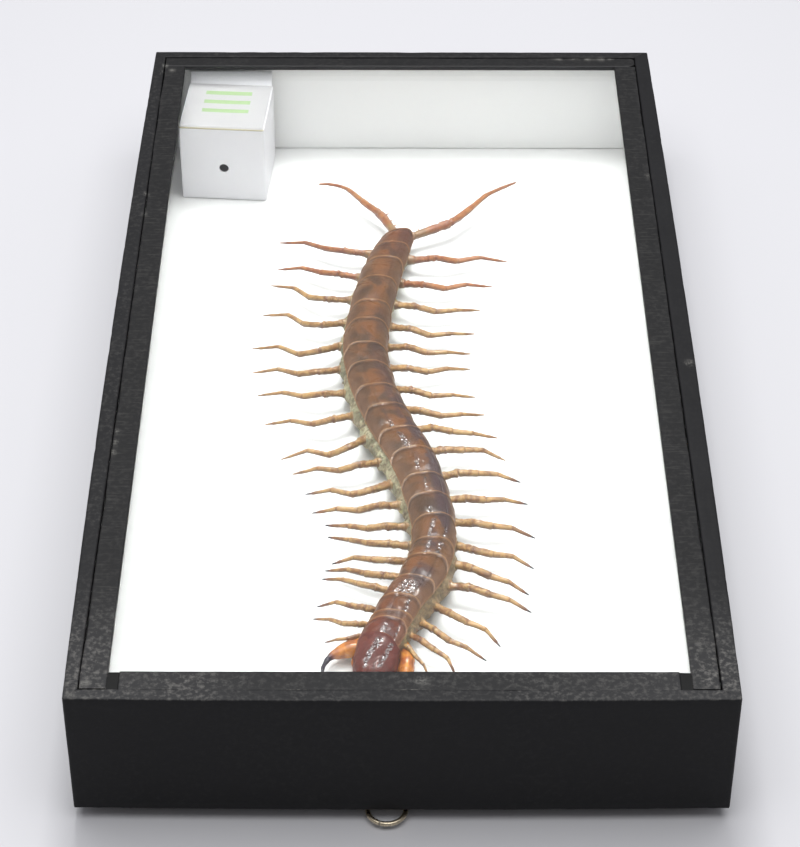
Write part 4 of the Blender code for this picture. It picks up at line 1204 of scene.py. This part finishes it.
def wall_wrap(name, half, thick, next_to, bow, location, turn, seed):
    """A board in its paper: a rounded section carried along the wall between mitres with
    its neighbours. The outer face bows outwards by bow * (1 - t^2) at the share t of the
    half length, and the inner face is straight."""
    section, to_edge = rounded_section(thick, DEPTH, EDGE_ROUND, steps=(7, 16))
    ends = 1 - np.array([0, 0.12, 0.3, 0.5, 0.8, 1.2]) / half
    t = np.unique(np.concatenate([np.linspace(-1, 1, int(half * 1.1)), ends, -ends]))[:, None]
    d, z = section[:, 0][None, :], section[:, 1][None, :]
    along = (half - d / thick * np.where(t > 0, next_to[1], next_to[0])) * t
    inwards = d - bow * (1 - t ** 2) * (1 - d / thick)
    z = z * np.ones_like(along)
    a = math.radians(turn)
    x = location[0] + math.cos(a) * along - math.sin(a) * inwards
    y = location[1] + math.sin(a) * along + math.cos(a) * inwards
    x, y = outer_corner_rounded(x, y)
    points = np.stack([x, y, z], -1)
    rough = 0.05 * waviness(points, 9.0, seed) + 0.035 * waviness(points, 1.6, seed + 1)
    calm = ease_step(0.0, 1.5, half - np.abs(along))
    points += outward(points, around=True) * np.minimum(rough * calm, 0.0)[..., None]
    top = ease_step(DEPTH - 0.42, DEPTH - 0.05, z)
    corner = ease_step(CORNER_WEAR, 0.0, half - np.abs(along))
    edge = bell(to_edge, 0.7)[None, :] * (0.45 + 0.4 * corner) + 0.25 * bell(z, 0.8) * bell(d, 0.6)
    grainy = 0.04 + top * dust(x, y, 0.0 if name == "wall_right" else 0.2)
    papered(name, points, BLACK_WRAP, edge, grainy, worn_spots(points) * top)


def strip_bar(name, wear_side, seed, rounded_end=False, snug=STRIP_SNUG, notch=0.0):
    """A flat card strip under black paper, the size of its CAD node: a rounded section
    carried along its length, with wavy edges. The wear side says which long edge is
    rubbed pale. The far strip's right end is rounded, its inner face is painted lighter as
    painted light, and a notch lowers the last millimetres of both ends, which reach to the
    next strips and are painted near black as painted shade."""
    tucked = snug != STRIP_SNUG
    origin = np.array((0.0, BOX_Y, BACK_Z))
    low, high = ((np.array(corner) - origin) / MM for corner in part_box(name))
    run, over = (0, 1) if high[0] - low[0] > high[1] - low[1] else (1, 0)
    if wear_side > 0:
        high[over] += snug
    else:
        low[over] -= snug
    if notch:
        low[run], high[run] = low[run] - NOTCH_REACH, high[run] + NOTCH_REACH
    size = high - low
    long, middle = size[run], size[over] / 2
    radius = TUCKED_ROUND if tucked else STRIP_ROUND
    section, to_edge = rounded_section(size[over], size[2], radius, steps=(8, 3))
    ends = np.array([0.1, 0.3, 0.6, 1.0, 1.5, 1.9, 2.1, 2.3, 2.5, 2.6, 2.7, 2.8, 2.9, 3.1]) / long
    t = np.unique(np.concatenate([np.linspace(0, 1, int(long / 1.4)), ends, 1 - ends]))
    along, side = np.meshgrid(t * long, section[:, 0], indexing="ij")
    tall = section[:, 1][None, :] * np.ones((len(t), 1))
    if rounded_end:
        left = np.clip((long - along) / 2.2, 0, 1)
        pull = 1 - np.sqrt(1 - (1 - left) ** 2)
        side = middle + (side - middle) * (1 - 0.55 * pull)
    flat = np.stack([along, side, tall], -1)

    def wavy(reach, step):
        return waviness(flat * (1, 0, 0), reach, seed + step)

    ragged = 0.11 * (wavy(22.0, 0) - 1) + 0.04 * (wavy(3.0, 1) - 1)
    outer = ease_step(0.3, 1.0, (side - middle) * wear_side / middle)
    side = side + outer * wear_side * ragged * (0.1 if tucked else 1.0)
    tall = tall + np.minimum(0.03 * waviness(flat, 5.0, seed + 2), 0)
    # The notched ends are lowered and carry painted shade: near black paint in the gap.
    pit = ease_step(2.9, 2.6, np.minimum(along, long - along)) * (notch > 0)
    tall = tall - notch * pit * tall / size[2]
    points = np.zeros((len(t), len(section), 3))
    points[..., run], points[..., over], points[..., 2] = low[run] + along, low[over] + side, low[2] + tall

    y = points[..., 1]
    wear = bell(to_edge, 0.5)[None, :] * (0.5 + 0.5 * outer) * ease_step(-0.4, 0.8, wavy(30.0, 3))
    # Painted light: the far strip's inner face is painted lighter grey. The side strips get dust along their
    # outer seams.
    if name == "strip_far":
        dust_and_painted_light = ease_step(0.3, 0.05, side)
    else:
        seam = {"strip_right": 0.25 + 0.5 * ease_step(30, 90, y), "strip_left": 0.25}.get(name, 0.0)
        dust_and_painted_light = bell(to_edge, 0.3)[None, :] * outer * seam * ease_step(-0.9, 0.6, wavy(6.0, 4))
    papered(name, points, BLACK_STRIP, wear, dust(points[..., 0], y, 0.15),
            worn_spots(points) * ease_step(0.5, 0.9, tall / size[2]), float(run == 1), pit, dust_and_painted_light)


def display_box():
    """Walls, strips, card, liners, glass and back."""
    wall_wrap("wall_near", WIDTH / 2, WALL, (WALL, WALL_RIGHT), NEAR_BOW, (0, -LENGTH / 2), 0, 200)
    wall_wrap("wall_right", LENGTH / 2, WALL_RIGHT, (WALL, WALL), RIGHT_BOW, (WIDTH / 2, 0), 90, 210)
    wall_wrap("wall_far", WIDTH / 2, WALL, (WALL_RIGHT, WALL), 0.0, (0, LENGTH / 2), 180, 220)
    wall_wrap("wall_left", LENGTH / 2, WALL, (WALL, WALL), LEFT_BOW, (-WIDTH / 2, 0), 270, 230)
    strip_bar("strip_near", -1, 300, snug=0.42, notch=0.3)
    strip_bar("strip_far", 1, 310, rounded_end=True)
    strip_bar("strip_left", -1, 320)
    strip_bar("strip_right", 1, 330)
    refinish("backing_card", white_card("backing_card_white", (0.745, 0.745, 0.74), specks=True))
    liner = white_card("liner_white", (0.755, 0.755, 0.75), specks=False)
    for side in ("near", "far", "left", "right"):
        refinish(f"liner_{side}", liner)
    refinish("glass_pane", clear_glass())
    refinish("back_board", hardboard())


# The card box of moth repellent

def moth_place(points):
    """Turn points of the little box into its place in the corner."""
    x, y, z = points[..., 0], points[..., 1], points[..., 2]
    c, s = math.cos(MOTH_TURN), math.sin(MOTH_TURN)
    return over_card(np.stack([MOTH_AT[0] + c * x - s * y, MOTH_AT[1] + s * x + c * y, z + MOTH_LOW], -1))


def card_piece(word, grid, tone, motif=False):
    """One piece of the little box in its own card."""
    return piece(f"repellent_{word}", [grid], box_card(f"{word}_card", tone, motif), ["repellent_box"],
                 sharp=MOTH_SHARP)


def moth_box():
    """A sleeve of four card walls with rounded corners, a lid whose front edge bends down
    behind the front wall, a flap behind the lid and a flat base."""
    half = MOTH_SIDE / 2
    rim = MOTH_TALL - MOTH_CARD
    outline, _ = rounded_section(MOTH_SIDE, MOTH_SIDE, MOTH_ROUND, steps=(15, 15))
    lift = np.linspace(0, 1, 24)[None, :, None]
    around = (outline - half)[:, None] * np.ones_like(lift)
    z = (lift * rim) * np.ones((len(outline), 1, 1))
    out_side = np.concatenate([around * (1 + 0.006 * np.sin(np.pi * lift)), z], -1)
    in_side = np.concatenate([around * (half - MOTH_CARD) / half, z], -1)[:, ::-1]
    # Rows go round the box, and columns up its outside and down its inside
    loop = np.concatenate([out_side, in_side], 1)
    loop = np.concatenate([loop, loop[:1]], 0)
    lip = (loop[..., 2] > rim - 0.01) * (loop[..., 1] < LIP_DEEP - half)
    sleeve = card_piece("sleeve", (moth_place(loop), True, {"lip": lip.astype(float)}), (0.68, 0.675, 0.70))
    cut_vent(sleeve, half)

    front = -half + MOTH_CARD + 0.15
    folded = [(front + LID_BEND * (1 - math.cos(a)), rim - LID_BEND * (1 - math.sin(a)))
              for a in np.radians(np.linspace(90, 0, 7))]
    profile = np.array([(half - 0.1, rim), *folded, (front, rim - LID_TUCK)])
    # Painted shade: the lid's card tone is about half the sleeve's, so its up-facing top lights no brighter
    # than the front.
    card_piece("lid", lid_sheet(profile, MOTH_SIDE - 2 * LID_GAP), (0.352, 0.346, 0.350), motif=True)
    card_piece("flap", lid_flap(half), (0.60, 0.595, 0.62))
    flat = np.array([(half - MOTH_CARD - 0.2, 0.6), (-half + MOTH_CARD + 0.2, 0.6)])
    card_piece("base", lid_sheet(flat, MOTH_SIDE - 2 * MOTH_CARD - 0.4), (0.74, 0.74, 0.765))


def lid_flap(half):
    """The flap behind the lid: a card sheet ruled between the lid's far edge, which is
    turned with the box, and a level line along the far liner under the glass. Its
    section is a loop of (share of the rise, side of the sheet)."""
    foot = moth_place(np.array([[x, half, 0.0] for x in (0.4 - half, half - 0.4)])) / MM
    low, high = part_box("liner_far")
    front, top = low.y / MM - 0.35, high.z / MM - 0.4
    x = np.linspace(0, 1, 24)[:, None]
    t = np.linspace(0, 1, 9)[None, :]
    near = foot[0] + (foot[1] - foot[0]) * x[..., None]
    from_y, from_z = near[..., 1] - 0.5, near[..., 2] + MOTH_TALL - 0.3
    y = from_y + (front - MOTH_CARD - from_y) * t + 0.15 * np.sin(np.pi * t) * np.ones_like(x)
    z = from_z + (top - from_z) * t ** 1.1
    sheet = np.stack([near[..., 0] * np.ones_like(t), y, z], -1)
    thick = -outward(sheet) * MOTH_CARD * 0.8
    loop = np.concatenate([sheet, (sheet + thick)[:, ::-1]], 1) * MM
    return loop, True, {"side": 99.0, "deep": 99.0}


def lid_sheet(profile, wide):
    """A card sheet: a profile of (y, z) points given a thickness along its normals and
    carried across the box in X, with a slight sag in the middle."""
    share = np.unique(np.concatenate([np.linspace(0, 1, 30), shares_along(profile)]))
    fine = read_path(profile, share)
    step = unit(np.gradient(fine, axis=0))
    normal = np.stack([step[:, 1], -step[:, 0]], -1)
    if normal[0, 1] < 0:
        normal = -normal
    ring = np.concatenate([fine + normal * MOTH_CARD, fine[::-1]], 0)
    x, y = np.meshgrid(np.linspace(-wide / 2, wide / 2, 26), ring[:, 0], indexing="ij")
    sag = 0.25 * (1 - (2 * x / wide) ** 2) * np.cos(np.clip(y / MOTH_SIDE, -0.5, 0.5) * np.pi)
    points = np.stack([x, y, ring[:, 1] - sag], -1)
    return moth_place(points), True, {"side": x, "deep": y}


def cut_vent(sleeve, half):
    """Cut the round vent through the sleeve's near wall."""
    at = Vector(moth_place(np.array([VENT[0], -half, VENT[1]])))
    aim = Matrix.Translation(at) @ Matrix.Rotation(MOTH_TURN, 4, "Z") @ Matrix.Rotation(math.pi / 2, 4, "X")
    bm = bmesh.new()
    bmesh.ops.create_cone(bm, cap_ends=True, segments=32, radius1=VENT[2] * MM, radius2=VENT[2] * MM,
                          depth=4 * MOTH_CARD * MM, matrix=aim)
    tool = linked_bmesh("vent_cutter", bm)
    change = sleeve.modifiers.new("vent", "BOOLEAN")
    change.object = tool
    change.solver = "EXACT"
    bpy.context.view_layer.update()
    cut = bpy.data.meshes.new_from_object(sleeve.evaluated_get(bpy.context.evaluated_depsgraph_get()))
    sleeve.modifiers.clear()
    sleeve.data = cut
    smooth(cut, MOTH_SHARP)
    bpy.data.objects.remove(tool)


# The hanger

RING_SPLIT = 250  # degrees, where the wire's ends meet
RING_GAP = 0.03  # half the angle between them, in radians


def hanger():
    """Metal finishes for the strap and the screw, and a smooth ring with its split: a
    torus that leaves out a small angle where the wire's ends meet."""
    steel = metal("plated_steel", (0.56, 0.53, 0.47), 0.32)
    refinish("hanger_strap", steel)
    refinish("hanger_screw", steel)
    low, high = (np.array(corner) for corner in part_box("hanger_ring"))
    centre, wire = (low + high) / 2, (high[2] - low[2]) / 2
    radius = (high[0] - low[0]) / 2 - wire
    first, last = math.radians(RING_SPLIT), math.radians(RING_SPLIT + 360)
    a = np.linspace(first + RING_GAP, last - RING_GAP, 90)[:, None]
    b = turns(18)
    out = radius + wire * np.cos(b)
    points = centre + np.stack([out * np.cos(a), out * np.sin(a), wire * np.sin(b) * np.ones_like(a)], -1)
    piece("ring_wire", [(points, True, {})], metal("ring_plate", (0.66, 0.57, 0.42), 0.25), ["hanger_ring"],
          body=RING, sharp=SHARP)


# Floor, lights and camera

def studio():
    """A pale floor that the box's far edge and the hanger's curl touch, a room that is
    darker low down and most so on the near side, one large soft lamp above and one small
    one for the glints."""
    curl, (far_low, far_high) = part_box("hanger_strap")[0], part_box("wall_far")
    rise = math.atan2(far_low.z, far_high.y - curl.y)
    bm = bmesh.new()
    bmesh.ops.create_grid(bm, x_segments=1, y_segments=1, size=FLOOR_SIZE,
                          matrix=Matrix.Translation((0, curl.y, -0.02 * MM)) @ Matrix.Rotation(rise, 4, "X"))
    floor = linked_bmesh("floor", bm)
    floor.data.materials.append(material("floor_pale", 0.6, Base_Color=FLOOR_TONE)[0])

    world = bpy.data.worlds.new("soft_room")
    bpy.context.scene.world = world
    world.use_nodes = True
    tree = world.node_tree
    way = add(tree, "SeparateXYZ", {0: add(tree, "TexCoord").outputs["Generated"]}).outputs
    low_down = fade(tree, way["Z"], 0.66, 0.60)
    far_side, near_side = (blend(tree, low_down, *tones) for tones in (FAR_ROOM, NEAR_ROOM))
    tone = blend(tree, fade(tree, way["Y"], -0.25, 0.25), near_side, far_side)
    feed(tree, tree.nodes["Background"].inputs["Color"], tone)
    tree.nodes["Background"].inputs["Strength"].default_value = 1.0
    for row in LAMPS:
        lamp(*row)


def lamp(name, at, aimed, size, watts):
    """A square area lamp that faces straight down, or the middle of the box if aimed."""
    light = bpy.data.lights.new(name, "AREA")
    light.size = size
    light.energy = watts
    made = linked(name, light)
    made.location = at
    if aimed:
        made.rotation_euler = (-Vector(at)).to_track_quat("-Z", "Y").to_euler()


def camera():
    """The photo's own viewpoint: its place, its three angles and its focal length."""
    data = bpy.data.cameras.new("photo_camera")
    data.sensor_width = SENSOR_MM
    data.lens = FOCAL_PIXELS * SENSOR_MM / PHOTO_HIGH
    made = linked("photo_camera", data)
    pitch, yaw, roll = (math.radians(a) for a in (CAMERA_PITCH, CAMERA_YAW, CAMERA_ROLL))
    ahead = Vector((math.sin(yaw) * math.cos(pitch), math.cos(yaw) * math.cos(pitch), -math.sin(pitch)))
    level = Vector((math.cos(yaw), -math.sin(yaw), 0))
    upward = level.cross(ahead)
    right = math.cos(roll) * level + math.sin(roll) * upward
    up = -math.sin(roll) * level + math.cos(roll) * upward
    turned = Matrix((right, up, -ahead)).transposed().to_4x4()
    turned.translation = Vector(CAMERA_AT) * MM + Vector((0, BOX_Y, BACK_Z))
    made.matrix_world = turned
    bpy.context.scene.camera = made


camera()
display_box()
moth_box()
centipede()
hanger()
studio()
bpy.context.scene.view_settings.view_transform = "Standard"
